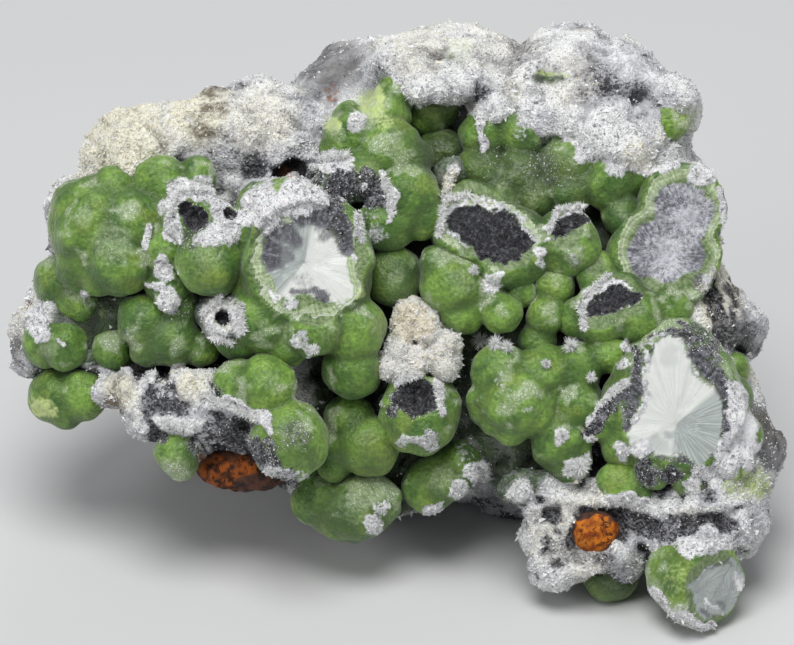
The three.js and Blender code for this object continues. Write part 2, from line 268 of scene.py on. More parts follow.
# What shows inside a break or on a coated patch, and its outline as seen from the front: [u, v] all round.
CORES = {
    "split_fan": [
        ["silk", [
            [-10.6, 9.6], [-9.2, 10.4], [-7.6, 10.2], [-6.6, 9], [-5.6, 7.6], [-4.8, 6.2], [-4.3, 5],
            [-3.8, 3.6], [-3.9, 2.4], [-4.6, 1.5], [-5.6, 1.5], [-6.4, 2.2], [-7.8, 2.7], [-9.4, 2.8],
            [-11, 2.5], [-12.4, 3.2], [-13.1, 5], [-13.1, 6.6], [-12.9, 8.2], [-11.9, 9.4],
        ]],
    ],
    "dark_split_pair": [
        ["core_soot", [
            [4.8, 10.3], [5.2, 11.2], [6.2, 11.8], [7.6, 11.9], [9, 11.2], [10.6, 11.2], [11.8, 10.8],
            [12.4, 9.8], [13.4, 8.8], [14, 8], [13.6, 7.2], [12.6, 7], [11.8, 6.2], [10.8, 6], [9.6, 5.7],
            [8.4, 6.4], [7.6, 7.6], [6.4, 8.4], [5.4, 9.2],
        ]],
        ["core_soot", [
            [15.4, 9.3], [15.9, 10.1], [17, 10.9], [18.4, 11], [19.4, 10.6], [19.6, 10.2], [18.6, 9.9],
            [17.4, 9.2], [16.6, 8.6], [15.8, 8.4],
        ]],
    ],
    "dark_split_small": [
        ["core_soot", [
            [18.8, 1.4], [19.4, 2.2], [20.2, 2.9], [20.9, 3.9], [21.6, 4], [22.8, 3.4], [24.4, 2.8],
            [24, 1.9], [22.8, 1.4], [21.6, 1], [20.4, 0.4], [19.2, 0.6],
        ]],
    ],
    "heart_split": [
        ["felt", [
            [26, 12.5], [26.3, 13.3], [27.5, 13.8], [29.3, 13.8], [30.6, 13.2], [31.4, 12.2], [31.6, 10.6],
            [31.2, 9.2], [30.2, 8.4], [30.8, 7.2], [30.9, 6.4], [30, 5.4], [28.4, 4.6], [26.9, 4],
            [25.6, 4.2], [24.2, 4.6], [23.2, 5.4], [22.6, 6.4], [23.2, 7.8], [24, 9.4], [25.2, 10],
            [25.9, 10.4],
        ]],
    ],
    "spray": [
        ["silk", [
            [25.4, -3.4], [26, -1.8], [27.2, -1.2], [28.6, -1.6], [29.4, -3.2], [29.6, -5], [30.6, -5.6],
            [31.8, -6.4], [32.8, -8.2], [32.4, -10.4], [32.6, -12], [31.4, -13.4], [30.4, -14.3],
            [29, -13.9], [28.2, -13], [26.4, -13.2], [25, -13], [23.4, -13.4], [22, -12.2], [22.4, -10.8],
            [24, -9.6], [24.6, -8], [24.8, -6], [24.6, -4.6],
        ]],
    ],
    "toe": [
        ["silk", [
            [29.2, -26.4], [30, -25.4], [31.4, -24.3], [32.4, -24.2], [33.2, -23.6], [34.6, -23.8],
            [35.4, -25], [35, -26.6], [34.9, -28], [33.6, -29.4], [31.8, -29.2], [30.8, -29.5],
            [29.8, -28.4], [29.6, -27.2],
        ]],
    ],
}

# The part of the face that the balls cover: rock that shows between them gets painted shade, dark green and
# black.
BALL_FIELD = [
    [-33, 12], [-24, 15], [-16, 13], [-8, 15], [-6, 19], [0, 22], [6, 21], [14, 20], [25, 15], [32, 11],
    [32, 4], [27, -1], [22, -3], [19, -7], [20, -13], [15.5, -15], [13, -19], [8, -19.5], [-2, -20],
    [-10, -19], [-9.5, -14], [-9.5, -8], [-9, -4], [-15, -3], [-20, -4], [-30, -5], [-36, -8], [-37, -3],
    [-35, 5],
]

# Hollows in the balls and the rock: [u, v, w, radius]. Their insides are coloured dark, as painted shade.
HOLLOWS = [
    [-19.9, 10.3, 4.2, 1.15], [-20.9, 11.2, 4, 0.8], [-16.6, 10.8, 2.8, 0.7], [-11.4, 14.6, -2.8, 1.2],
    [-10.4, 15.2, -3.2, 1.3], [1.9, -7, 3.9, 2.1], [-17.3, 0.2, 3.2, 0.9], [-16.5, -0.5, 3.1, 0.6],
    [-16.4, -13.4, 2.2, 2.3],
]

# ---- Where the surface is coated or coloured, as seen from the front ----

# Spots are [u, v, radius, amount] and strokes [u, v, end u, end v, radius, amount]. A coating is full out to
# the first share of its radius, and gone at the second.
FULL = 0.55
GONE = 1.35

SNOW = [
    [-24.9, 9.6, -24.9, 7.7, 0.45, 1], [-24.8, 4, -23.6, 3.8, 0.4, 0.8], [-22.6, 11.4, 1.3, 1],
    [-21.6, 13.2, 1.5, 1], [-19.4, 13.3, 1.5, 1], [-17.8, 11.6, 1.5, 1], [-17, 9.2, 1.8, 1],
    [-22.2, 9.2, 1.2, 1], [-18.9, 8.6, 1.8, 0.8], [-23.2, 5.3, 1.2, 1], [-22.9, 2.4, 1.5, 1],
    [-17.2, 0.3, 2.5, 1], [-13.4, 11.6, 2.6, 1], [-10, 12.7, 2.1, 1], [-7.8, 12.4, 1.1, 1],
    [-15.8, 10.6, 1.1, 1], [-9.6, -1.6, 0.9, 0.7], [-8.9, -2.6, 0.7, 0.7], [-36, 0.4, 1.9, 1],
    [-35.4, -0.8, 1.3, 0.8], [-31.3, 2.8, 0.6, 0.8], [-33.4, -2.2, 0.5, 0.7], [-27.3, -1.6, 0.8, 0.5],
    [4.2, 9.6, 4.6, 11.4, 0.45, 0.8], [4.9, 12.2, 7, 12.6, 0.5, 0.8], [7.8, 12.5, 11.6, 11.7, 0.3, 0.6],
    [-4, 20.2, 1.2, 0.8], [12.4, 10.4, 14.1, 8.4, 0.35, 0.8], [14.4, 7, 0.7, 0.9], [14.4, 5.9, 0.5, 0.8],
    [15.1, 9.4, 16, 11.1, 0.35, 0.8], [16, 11.1, 18.8, 11.7, 0.4, 0.8], [15.2, 8.4, 0.4, 0.7],
    [17.8, 6.6, 0.6, 0.6], [18.8, 7.4, 0.5, 0.6], [9.6, 3.9, 1.2, 0.8], [18.3, 1.8, 18.6, -0.6, 0.4, 0.8],
    [18.8, 2.6, 21.2, 4.6, 0.3, 0.8], [21.2, 4.6, 0.5, 0.7], [-3.8, 10.6, -3.8, 8.6, 0.45, 0.9],
    [-4.2, 6.6, 0.5, 0.7], [-8.6, 15.6, -6.6, 15, 0.45, 0.9], [-5.4, 15.2, 0.5, 0.8],
    [-3.2, 13.7, 0.4, 0.8], [-5.6, 12.4, 0.35, 0.7], [-7.2, 16.3, -5.2, 16, 1.2, 0.8],
    [-1.8, 14.9, -0.5, 12.6, 0.5, 0.9], [-0.5, 12.2, -0.8, 10.4, 0.5, 0.8],
    [26.6, -28, 29.4, -29.6, 1, 0.5], [25.6, -26.8, 27.6, -29.4, 0.6, 0.8],
    [27.6, -29.4, 32.4, -30.6, 0.6, 0.9], [-10.8, 1.9, 0.9, 0.7], [-12.4, 2.4, 0.6, 0.8],
    [23, -2.6, 0.8, 0.9], [22.4, -4.4, 0.7, 0.8], [18.9, -10, 20.3, -8.2, 0.35, 0.9],
    [20.3, -8.2, 22.8, -6.1, 0.35, 0.8], [19.2, -11.6, 0.6, 0.9], [24.9, -3, 24.7, -7.2, 0.5, 0.7],
    [24.7, -7.2, 23.6, -9.6, 0.5, 0.7], [24.6, -2.6, 27.2, -1, 0.4, 0.6],
    [27.2, -1, 29.4, -2.4, 0.35, 0.5], [33.8, -6.6, 34.8, -9.6, 1.1, 0.9],
    [34.4, -9.6, 35, -13.8, 1.5, 0.9], [32.2, 13.4, 32.6, 8.4, 0.5, 0.8], [31.8, 5.6, 30.4, 3.4, 0.6, 0.7],
    [8.3, 19.6, 0.9, 0.9], [10.2, 20.9, 1.3, 0.8], [13, 20.6, 1.5, 0.8], [12.3, 19, 1, 0.5],
    [15.6, 19.8, 1.3, 0.7], [-1.8, 9, 1.1, 0.7], [-2.4, 10.4, 0.9, 0.5], [11.4, -7.2, 0.9, 0.5],
    [13.2, -9, 0.8, 0.5], [10.2, -5.6, 0.8, 0.5], [8, -15, 1.3, 1], [6.2, -17, 1.3, 1], [3.6, -19, 1.4, 1],
    [6.6, -12.8, 1.4, 0.5], [-2.4, -20.2, 1.2, 0.8], [-1.4, -18.4, 1, 0.7], [3.4, -11.8, 1, 0.75],
    [0.6, -11.9, 3.2, -12.2, 0.7, 0.7], [4.1, -6.4, 0.7, 1], [4.4, -7.6, 0.6, 1], [4.3, -8.9, 0.6, 1],
    [0.4, -5.8, 1, 1], [-1.6, -8, 0.6, 0.6], [19.5, 17.9, 2.2, 1], [22.2, 16.6, 2, 1],
    [24.6, 15.9, 1.6, 1], [21, 19.6, 2.4, 1], [17, 19.8, 1.9, 1], [24.6, 18.4, 2.4, 1], [27, 16.4, 1.6, 1],
    [30.4, 14.8, 1.4, 0.9], [29, 22.8, 1.7, 1], [28, 24, 1.2, 1], [2.2, 23, 1.6, 1], [0.4, 25, 1.6, 0.8],
    [8.2, 20.8, 8.5, 17.8, 0.5, 1], [2.5, 23.4, 1.6, 1], [5.6, 24.2, 2.6, 0.9], [0.6, 26.4, 2.8, 0.8],
    [33.8, -24.6, 34.6, -27, 0.35, 0.8], [33.4, -26.4, 1.5, 0.45], [31.4, -28.4, 1, 0.5],
    [30.2, -25.8, 31.4, -24.6, 0.25, 0.7], [31.2, -27.6, 32.6, -29, 0.25, 0.7],
    [4.6, 12.4, 5.6, 15.8, 0.6, 1], [-12.4, -14.8, 0.8, 0.8], [-24.6, -5.4, -26.4, -6.8, 0.7, 0.9],
    [-26.6, -8, -25, -10.8, 0.6, 0.9], [29.8, -15, 31.6, -15.6, 0.9, 0.8],
    [28.6, -30.2, 31.4, -30.6, 0.6, 0.8], [29, -22.8, 33.2, -21.9, 1.1, 0.9], [31, -21.4, 1.4, 0.8],
    [18.2, -14.3, 1.3, 0.9], [16.4, -11.2, 0.9, 0.8], [34.2, -25, 35.2, -28, 0.5, 0.7],
    [24.4, -12.6, 1.3, 0.9], [33, -12, 1.2, 0.8], [32.8, -14.2, 1.8, 0.9], [29.2, -16.4, 1.2, 0.8],
    [22.6, -12.8, 1.2, 0.8], [-21.6, -5.2, -19.6, -6.8, 1.2, 1], [-19, -7.9, -16, -8.2, 0.8, 1],
    [-15.6, -8.6, -13.4, -9.6, 0.9, 1], [-13.2, -9.8, -12.2, -11.2, 0.4, 0.9],
    [-23.4, -9.7, -20.2, -10.6, 0.8, 1], [-19.6, -11.6, -18.2, -13, 0.5, 0.7], [-10, -4.6, 0.5, 0.5],
    [-12.2, -15, -8.6, -15.4, 0.4, 0.6], [17.4, -17.8, 21, -17.6, 0.7, 1], [21, -17.6, 25.4, -18, 0.8, 1],
    [12.4, -16.8, 1.3, 1], [13.6, -18.6, 13.8, -22.6, 0.9, 0.8], [15, -25.2, 18.4, -24.8, 0.9, 0.8],
    [22, -22.6, 24, -24, 0.9, 0.7], [26, -18.6, 30.6, -18.6, 0.6, 0.9], [31, -18.4, 35.6, -17.4, 0.7, 0.9],
    [34.8, -19.2, 35.2, -22.4, 0.7, 0.8], [3.4, 24, 2.6, 0.7], [6.4, 24.6, 2, 0.7],
]
SOOT = [
    [-14.5, 15.2, 1.3, 0.9], [-6.4, 16.2, 1.6, 0.35], [-3.2, 14.6, 1, 0.8], [-8.4, 14.8, 1.8, 0.8],
    [-5.4, 13.8, 1.9, 1], [-2.6, 12.8, 1.7, 1], [-0.9, 11.7, 1, 0.9], [-12.6, 9.4, -12.6, 6.2, 1.1, 1],
    [-11.2, 9.6, -10.4, 8.6, 1.1, 0.9], [-11.4, 7, 1.1, 0.7], [-9.3, 11, -6.4, 10.8, 1.3, 1],
    [-5.8, 10.2, -5, 7.8, 1, 1], [-6.8, 9.2, 0.9, 0.7], [-4.7, 7.2, 0.6, 0.8], [-6.4, 12.6, 1.3, 0.9],
    [-9.6, 4.2, 1.2, 0.45], [-10.8, 2.9, -8.6, 3.1, 0.35, 0.8], [-8.6, 3.1, -6.8, 2.6, 0.4, 0.9],
    [-15.4, -16.2, -10.8, -15.6, 1, 0.9], [-12.6, -14.6, 1.2, 0.8], [-20.6, 8.4, 1.3, 0.55],
    [30.4, -28.6, 31.6, -29.2, 0.35, 0.7], [31, -24.9, 33.4, -24, 0.25, 0.6], [32.4, -28.2, 0.6, 0.6],
    [-4.1, 20.2, 0.5, 0.8], [-25.8, -5.4, -22.8, -5.3, 0.8, 0.9], [4.6, 25.4, 1.8, 0.4],
    [13, 26.2, 2.6, 0.35], [20, 23.4, 2.8, 0.3], [8.6, 23, 1.2, 0.6], [-25.4, -6.6, -23.2, -8.6, 1.2, 0.7],
    [-24.2, -9, 1.6, 0.6], [-19.6, -12.2, 1.6, 0.65], [-16.6, -12, 1.9, 0.7], [-22, -8.6, 1.2, 0.65],
    [-18.4, -6.8, 0.9, 0.7], [-14.4, -12.4, -12.4, -14.2, 1, 0.9], [-17.6, -9.6, -15, -10.6, 0.7, 0.8],
    [0.4, -7.4, 1.2, 1], [2.1, -7, 1.4, 1], [3.1, -8.2, 0.9, 1], [-0.5, -8.8, 0.9, 0.8],
    [1.3, -8.7, 0.8, 0.7], [14.8, 15.6, 2.4, 0.45], [9.8, 16.4, 1.4, 0.3], [-10, -11.2, 1.5, 0.55],
    [-12.6, -12.4, 1, 0.7], [-18.9, 7.9, 1.3, 0.6], [-23.8, -11.4, 0.9, 0.8],
    [30.2, 4.4, 32.6, -0.6, 0.7, 0.7], [32.6, -0.6, 31, -3, 0.7, 0.8], [33.6, -8.4, 34.2, -10.8, 0.5, 0.6],
    [17.8, -19.4, 19.4, -18.5, 0.5, 1], [19.4, -18.5, 22.2, -19.4, 0.5, 1],
    [17.3, -20.4, 17.4, -22.2, 0.4, 0.9], [18.9, -11, 20.4, -9.2, 0.7, 1], [20.4, -9.2, 23, -7, 0.7, 1],
    [23.8, -3.2, 23.6, -7, 0.55, 1], [23.6, -7, 22.9, -10.6, 0.5, 0.9], [31.5, -3.6, 1.3, 0.7],
    [25.2, -1.6, 27.6, -0.4, 0.4, 0.9], [27.6, -0.4, 30, -2, 0.4, 0.9], [29.9, -3.2, 33.4, -7.4, 0.8, 1],
    [24.8, -14.9, 1.6, 0.9], [27.2, -15.2, 1.2, 1], [32.2, -15, 1.1, 0.9], [34.6, -11, 0.8, 0.6],
    [31, -17, 1, 0.6], [15.4, -19.2, 0.9, 1], [14.4, -17.6, 0.6, 0.8], [22.4, -19.6, 25.6, -20.4, 1.1, 1],
    [26.4, -20.8, 31.4, -20, 1.2, 0.75], [31.4, -20, 33.4, -20.6, 0.9, 0.8], [15, -22.4, 0.9, 0.6],
    [22.4, -21.8, 0.9, 0.7], [16, -24, 0.7, 0.6], [20.4, -23.6, 1, 0.6], [-35.6, -0.2, 0.6, 0.5],
    [-21.8, 1.6, 1.5, 0.4], [16.6, 15.8, 1.8, 0.35], [29.8, -1.4, 1.6, 0.6], [33.6, -1.6, 1.6, 0.5],
    [31.6, 5, 32.6, 0.4, 0.3, 0.9], [33.2, 4.4, 33.8, -1, 0.3, 0.8], [17.6, -22.6, 2.4, 0.3],
    [12.8, -20.2, 0.35, 0.8], [16.2, -21.2, 0.4, 0.7], [18.4, -24.6, 0.4, 0.8], [17, -25.4, 0.35, 0.7],
    [14.2, -25.6, 0.35, 0.6], [23.6, -23, 0.4, 0.8], [21.4, -22.6, 0.5, 0.7], [34.4, -18.4, 0.5, 0.8],
    [33.6, -21.8, 0.7, 0.7], [35.2, -21, 0.35, 0.8], [28.6, -17.6, 0.4, 0.8], [30.6, -16, 0.5, 0.8],
    [-22.6, -6.6, 0.7, 0.8], [-21.2, -8, 0.5, 0.8], [-24, -10.6, 0.5, 0.7],
]
LIME = [
    [-2.6, 21.8, 1.8, 0.9], [-6.6, 19.8, 1, 0.9], [-1.4, 20.2, 1.2, 0.6], [-35.5, -8.6, 1.5, 0.8],
    [-29.6, 0.9, 0.7, 0.5], [35.8, -16.2, 1.8, 1], [28.8, 20.4, 1.6, 0.6], [25.6, -12.8, 0.7, 0.8],
    [-3.8, 2.8, 0.9, 0.7], [28, -25.6, 1.8, 0.45], [33.6, -16.4, 1.4, 0.8], [24.4, -14, 0.8, 0.5],
    [6.2, 27, 2, 0.45], [14.2, 25.3, 15.2, 25, 0.3, 0.9], [15.6, 24.9, 17, 24.7, 0.3, 0.8],
]
CREAM = [
    [-27.4, 18.6, 5.2, 0.9], [-20, 21, 3.6, 0.9], [-30.6, 14.8, 2, 0.6], [-13.6, 20.4, 3.4, 0.5],
    [2, 27.4, 3, 0.4], [17, 24.4, 3, 0.3], [11, 29, 4, 0.3], [1.6, 0, 2.6, 1], [3.4, -3, 3, 0.5],
    [-28, -7, 1.8, 0.8], [-21.6, -14.8, 1.8, 0.8], [24, 16.6, 1.6, 0.5], [-17.6, -5.6, 1.4, 0.5],
    [30, 3, 32, -0.4, 0.9, 0.7], [-20.6, -6.2, 1.5, 0.7], [32.4, 7.4, 33.4, 0.6, 1.1, 0.6],
    [5, 14, 1.6, 0.6], [16, -21, 3, 0.35], [19, -24, 2.4, 0.35],
]
STONE = [
    [36.8, -10.6, 3, 1], [37.2, -13.4, 1.8, 0.9], [-6.4, 25.6, 3.4, 0.8], [-35.2, 9.6, 2, 0.7],
    [33.4, 0.2, 35.6, -2.6, 0.9, 0.8], [-38.4, -2.6, 1.5, 0.8], [34.4, -0.4, 1.6, 0.4],
]
RUST = [
    [-36.8, 1.8, 0.7, 1], [-15, -15.6, 3, 0.6], [-11.2, 14.7, 1.1, 0.7], [-6.5, 22.8, 1.4, 0.5],
    [-12, 19.4, 1, 0.4],
]

# Silky fibres that are grey and clear instead of white.
SILVER = [
    [26.2, -12.2, 1.3, 0.6], [27.6, -10.8, 0.7, 0.8], [27.4, -3.2, 1.3, 0.45], [23.8, -11.8, 1, 0.4],
]

# Pale veil on green balls: partly a dusting of fine crystals, partly painted highlight.
FROST_AND_HIGHLIGHT = [
    [26.4, -28.6, 29, -30, 1.6, 1], [25.6, -26, 1, 0.7], [15.2, 1.2, 0.9, 0.9], [16.2, 4.4, 0.8, 0.7],
    [17.8, 7, 1.4, 0.8], [4.6, 6.4, 1, 0.9], [10.6, 1.2, 0.8, 0.8], [6.4, 4.2, 1.6, 0.5],
    [-18.9, 6.4, 2.2, 0.5], [-28.6, 8, 2.4, 0.6], [-31.4, 10.6, 1.2, 0.6], [-10.2, -11, 1.8, 0.4],
    [-12.6, -6, 1.2, 0.5], [-22, -14.6, 1.4, 1], [-34.8, -2.4, 1.2, 0.6], [-6.6, -0.6, 1.6, 0.4],
    [-3.4, 20.4, 1.4, 0.8], [-5.8, 18.8, 1, 0.7], [9.6, 16.4, 1.2, 0.4], [14.6, 17.8, 1.2, 0.5],
    [11.8, 12.4, 1.2, 0.4], [-4, -18.6, 2, 0.6], [4.6, -15.6, 1.6, 0.7], [-1.8, -0.4, 1, 0.4],
    [22.8, -4, 1.2, 0.6],
]

# Painted shade: green made darker where balls lie in shadow, deep in the hollows of the face; and a small
# green pocket in the crest.
SHADE = [
    [9, 15.6, 2.6, 0.8], [13, 15, 3.4, 0.9], [17.6, 14.8, 2.6, 0.6], [12.6, 12.2, 3, 0.8],
    [4.5, 16.9, 2.6, 1], [3.6, 21.6, 2.6, 0.5], [-0.3, 4.8, 3, 0.6], [-5, -18.6, 3.4, 0.4],
    [0.8, 17.4, 2.4, 0.35], [-10.7, -12.6, 3, 0.35], [-3, -12.4, 3.4, 0.3], [21.6, -25.3, 2.8, 1],
    [14, -1.6, 2.2, 0.3], [22.6, 11.4, 1.8, 0.5], [-23.4, -2.2, 3.4, 0.25], [5.4, -15.6, 2.4, 0.3],
]
POCKETS = [
    [14.5, 24.5, 0.8, 1], [15.6, 24.1, 0.6, 1], [16.4, 24.2, 0.4, 0.9],
]

# Tufts of needles, [u, v, length], and fringes of them, [u, v, end u, end v, length].
TUFTS = [
    [8.4, -1.8, 1.3], [9.8, -2.1, 1.2], [10.9, -2.4, 1], [17.3, -2.3, 1.2], [14.8, -4.1, 0.7],
    [18.2, -14.3, 1.3], [17, -14.8, 0.9], [16.4, -11.3, 0.9], [19.3, -5.4, 0.8], [7.6, 5.2, 0.8],
    [-8.2, -2.6, 0.8], [4.2, 8.8, 4.6, 11.4, 0.8], [4.9, 12.3, 7.2, 12.8, 0.8], [15.2, 9.4, 16, 11.2, 0.7],
    [16.2, 11.3, 18.6, 11.7, 0.7], [18.2, 1.8, 18.6, -0.4, 0.8], [18.8, 2.8, 20.8, 4.6, 0.7],
    [-3.9, 10.6, -3.5, 8.2, 0.8], [-22.6, 10.4, -21.6, 12.8, 0.8], [-21.4, 13, -18.8, 13.2, 0.8],
    [0.2, -5.9, 2, -5.2, 0.8], [3.9, -6.2, 4.4, -8.8, 0.7], [-19.2, 1, -17.6, 2.4, 0.8],
    [-7.4, 16.4, -5, 16.8, 0.8], [-1.2, 14.6, -0.4, 10.8, 0.7], [-15.6, 1.8, -15.2, -0.8, 0.8],
    [-18.2, -1.5, -16.4, -2, 0.8], [-18.8, -7.4, -14, -9.4, 0.8], [-23.2, -9.8, -20.4, -10.6, 0.7],
    [20.4, -8, 22.8, -6, 0.6], [12.2, -15.8, 11.2, -17.2, 0.7],
]

# ---- Numbers that look random and are the same in every run ----

CORNERS = np.indices((2, 2, 2)).reshape(3, -1).T
NEIGHBOURS = np.indices((3, 3, 3)).reshape(3, -1).T - 1


def hashed(cells, seed):
    """A number from 0 to 1 for each whole-number cell."""
    i, j, k = (np.ascontiguousarray(cells[:, n], dtype=np.int32).view(np.uint32) for n in range(3))
    mixed = i * np.uint32(374761393) + j * np.uint32(668265263) + k * np.uint32(2246822519)
    mixed += np.uint32(seed * 3266489917 % 2**32)
    mixed = (mixed ^ (mixed >> np.uint32(13))) * np.uint32(1274126177)
    mixed ^= mixed >> np.uint32(16)
    return mixed.astype(np.float32) / np.float32(2**32)


def noise(points, scale, seed):
    """Smooth noise from -1 to 1, with swells about scale across."""
    place = (points / scale).astype(np.float32)
    cell = np.floor(place)
    part = place - cell
    part = part * part * (3 - 2 * part)
    cell = cell.astype(np.int32)
    total = np.zeros(len(points), np.float32)
    for corner in CORNERS:
        weight = np.prod(np.where(corner, part, 1 - part), axis=1)
        total += weight * hashed(cell + corner, seed)
    return total * 2 - 1


def knobs(points, scale, seed):
    """Rounded knobs about scale across: 1 at the middle of each, less in the creases between."""
    place = (points / scale).astype(np.float32)
    cell = np.floor(place).astype(np.int32)
    nearest = np.full(len(points), 9.0, np.float32)
    for step in NEIGHBOURS:
        other = cell + step
        away = np.zeros(len(points), np.float32)
        for axis in range(3):
            away += (place[:, axis] - other[:, axis] - hashed(other, seed + axis)) ** 2
        np.minimum(nearest, away, out=nearest)
    return 1 - nearest


def ramp(values, low, high):
    """0 up to low, 1 from high, smooth between."""
    t = np.clip((values - low) / (high - low), 0, 1)
    return t * t * (3 - 2 * t)


def terraces(values):
    """Values drawn towards whole numbers, so that swells become flat steps."""
    whole = np.floor(values)
    return whole + ramp(values - whole, 0.3, 0.7)


def lengths(vectors):
    """The length of each row, as a column."""
    return np.linalg.norm(vectors, axis=1, keepdims=True)


def distance_to_line(points, first, last):
    """How far flat points are from the line between two ends, which may be one place."""
    side = last - first
    part = np.clip((points - first) @ side / (side @ side + 1e-9), 0, 1)
    return np.linalg.norm(points - first - part[:, None] * side, axis=1)


def outline_depth(seen, outline):
    """How far each seen point is inside an outline; less than 0 outside it."""
    corners = np.array(outline, float)
    nearest = np.full(len(seen), 99.0)
    inside = np.zeros(len(seen), bool)
    for a, b in zip(corners, np.roll(corners, -1, axis=0)):
        nearest = np.minimum(nearest, distance_to_line(seen, a, b))
        side = b - a
        level = (a[1] > seen[:, 1]) != (b[1] > seen[:, 1])
        before = (seen[:, 0] - a[0]) * abs(side[1]) < (seen[:, 1] - a[1]) * side[0] * np.sign(side[1])
        inside ^= level & before
    return np.where(inside, nearest, -nearest)


# ---- Frames ----


def to_row(face):
    """Points in face axes, in the row frame, both in millimetres."""
    return face @ FACE_TURN.T + FACE_MIDDLE


def to_face(row):
    """Points in the row frame, in face axes."""
    return (row - FACE_MIDDLE) @ FACE_TURN


def as_seen(face):
    """Where the camera sees face points, on the plane w = 0."""
    return face[:, :2] * (CAMERA_DISTANCE / (CAMERA_DISTANCE - face[:, 2:3]))


# ---- Fields and their skins ----


class Grid:
    """Places a fixed step apart, from a lowest corner to a highest one."""

    def __init__(self, low, high, step):
        self.low = np.array(low, float)
        self.step = step
        self.shape = tuple(np.ceil((np.array(high) - self.low) / step).astype(int) + 1)

    def points(self):
        axes = [self.low[n] + self.step * np.arange(self.shape[n]) for n in range(3)]
        return np.stack(np.meshgrid(*axes, indexing="ij"), axis=-1).reshape(-1, 3).astype(np.float32)

    def sample(self, values, points):
        """Values held on the grid, read between its places."""
        place = np.clip((points - self.low) / self.step, 0, np.array(self.shape) - 1.001)
        cell = place.astype(int)
        part = place - cell
        total = np.zeros(len(points))
        for corner in CORNERS:
            i, j, k = (cell + corner).T
            total += np.prod(np.where(corner, part, 1 - part), axis=1) * values[i, j, k]
        return total


def grid_round(rows, step):
    """A grid round lobes or balls, whose rows are a middle and half-axes or a radius."""
    rows = np.array(rows, float)
    low = (rows[:, :3] - rows[:, 3:]).min(axis=0) - MARGIN
    high = (rows[:, :3] + rows[:, 3:]).max(axis=0) + MARGIN
    return Grid(low, high, step)


def merged(distances, blend):
    """The distance to shapes that run into each other, from the distance to each in turn."""
    total = sum(np.exp(-np.clip(away, -30 * blend, 80 * blend) / blend) for away in distances)
    return -blend * np.log(total + 1e-30)


def to_lobe(points, row):
    """Distance to an ellipsoid, nearly."""
    halves = np.array(row[3:], np.float32)
    offset = points - np.array(row[:3], np.float32)
    out = np.linalg.norm(offset / halves, axis=1)
    slope = np.linalg.norm(offset / halves**2, axis=1) + 1e-6
    return out * (out - 1) / slope


def to_ball(points, row):
    """Distance to a ball."""
    return np.linalg.norm(points - np.array(row[:3], np.float32), axis=1) - row[3]


def lobes(points, rows, blend):
    """Distance to ellipsoids that run into each other."""
    return merged((to_lobe(points, row) for row in rows), blend)


def windows(shape, axes):
    """Slices that pair every place of a field with its next ones along some axes."""
    for steps in np.ndindex(*[2] * len(axes)):
        window = [slice(None)] * 3
        for axis, step in zip(axes, steps):
            window[axis] = slice(step, shape[axis] - 1 + step)
        yield tuple(window)


def settle(field):
    """Fills the places where the inside would meet itself along an edge only, so that the skin is clean."""
    changed = True
    while changed:
        inside = field < 0
        changed = False
        for axis in range(3):
            spots = list(windows(field.shape, [n for n in range(3) if n != axis]))
            p, q, r, s = (inside[spot] for spot in spots)
            crossed = (p == s) & (q == r) & (p != q)
            if not crossed.any():
                continue
            changed = True
            for spot in spots:
                part = field[spot]
                part[crossed & (part >= 0)] = JUST_INSIDE


def skin(field, grid):
    """A closed mesh of quads round the inside of a field."""
    field = field.reshape(grid.shape)
    settle(field)
    inside = field < 0
    count = sum(inside[window].astype(int) for window in windows(grid.shape, range(3)))
    active = (count > 0) & (count < 8)
    number = np.full(active.shape, -1)
    number[active] = np.arange(active.sum())
    cells = np.argwhere(active)
    values = np.stack([field[tuple((cells + corner).T)] for corner in CORNERS], axis=1)
    total = np.zeros((len(cells), 3))
    crossings = np.zeros(len(cells))
    edges = [(a, b) for a in range(8) for b in range(a + 1, 8) if np.abs(CORNERS[a] - CORNERS[b]).sum() == 1]
    for a, b in edges:
        crossed = (values[:, a] < 0) != (values[:, b] < 0)
        gap = np.where(crossed, values[:, a] - values[:, b], 1)
        along = np.where(crossed, values[:, a] / gap, 0)
        place = CORNERS[a] + along[:, None] * (CORNERS[b] - CORNERS[a])
        total += place * crossed[:, None]
        crossings += crossed
    points = grid.low + grid.step * (cells + total / crossings[:, None])
    quads = []
    for axis in range(3):
        here, there = (inside[window] for window in windows(grid.shape, [axis]))
        one, two = np.eye(3, dtype=int)[[(axis + 1) % 3, (axis + 2) % 3]]
        for leaving in (True, False):
            places = np.argwhere((here != there) & (here == leaving))
            round_edge = [places, places - one, places - one - two, places - two]
            quad = np.stack([number[tuple(place.T)] for place in round_edge], axis=1)
            quads.append(quad if leaving else quad[:, ::-1])
    return points, np.concatenate(quads)


def without_crumbs(points, quads, least):
    """The mesh without the loose parts that have fewer than a least share of its corners."""
    label = np.arange(len(points))
    while True:
        lowest = label[quads].min(axis=1)
        new = label.copy()
        for n in range(4):
            np.minimum.at(new, quads[:, n], lowest)
        new = new[new]
        if (new == label).all():
            break
        label = new
    sizes = np.bincount(label, minlength=len(points))
    keep = sizes[label] >= least * len(points)
    number = np.cumsum(keep) - 1
    return points[keep], number[quads[keep[quads[:, 0]]]]


def quad_normals(points, quads):
    """Each quad's normal, as long as its area."""
    a, b, c, d = (points[quads[:, n]] for n in range(4))
    return 0.5 * np.cross(c - a, d - b)


def normals_of(points, quads):
    """The normal at each corner."""
    total = np.zeros_like(points)
    faces = quad_normals(points, quads)
    for n in range(4):
        for axis in range(3):
            total[:, axis] += np.bincount(quads[:, n], faces[:, axis], len(points))
    return total / (lengths(total) + 1e-12)


# ---- The rock ----


def hollowed(field, points):
    """A field with the hollows taken out; points in face axes."""
    for row in HOLLOWS:
        field = np.maximum(field, -0.9 * to_ball(points, row))
    return field


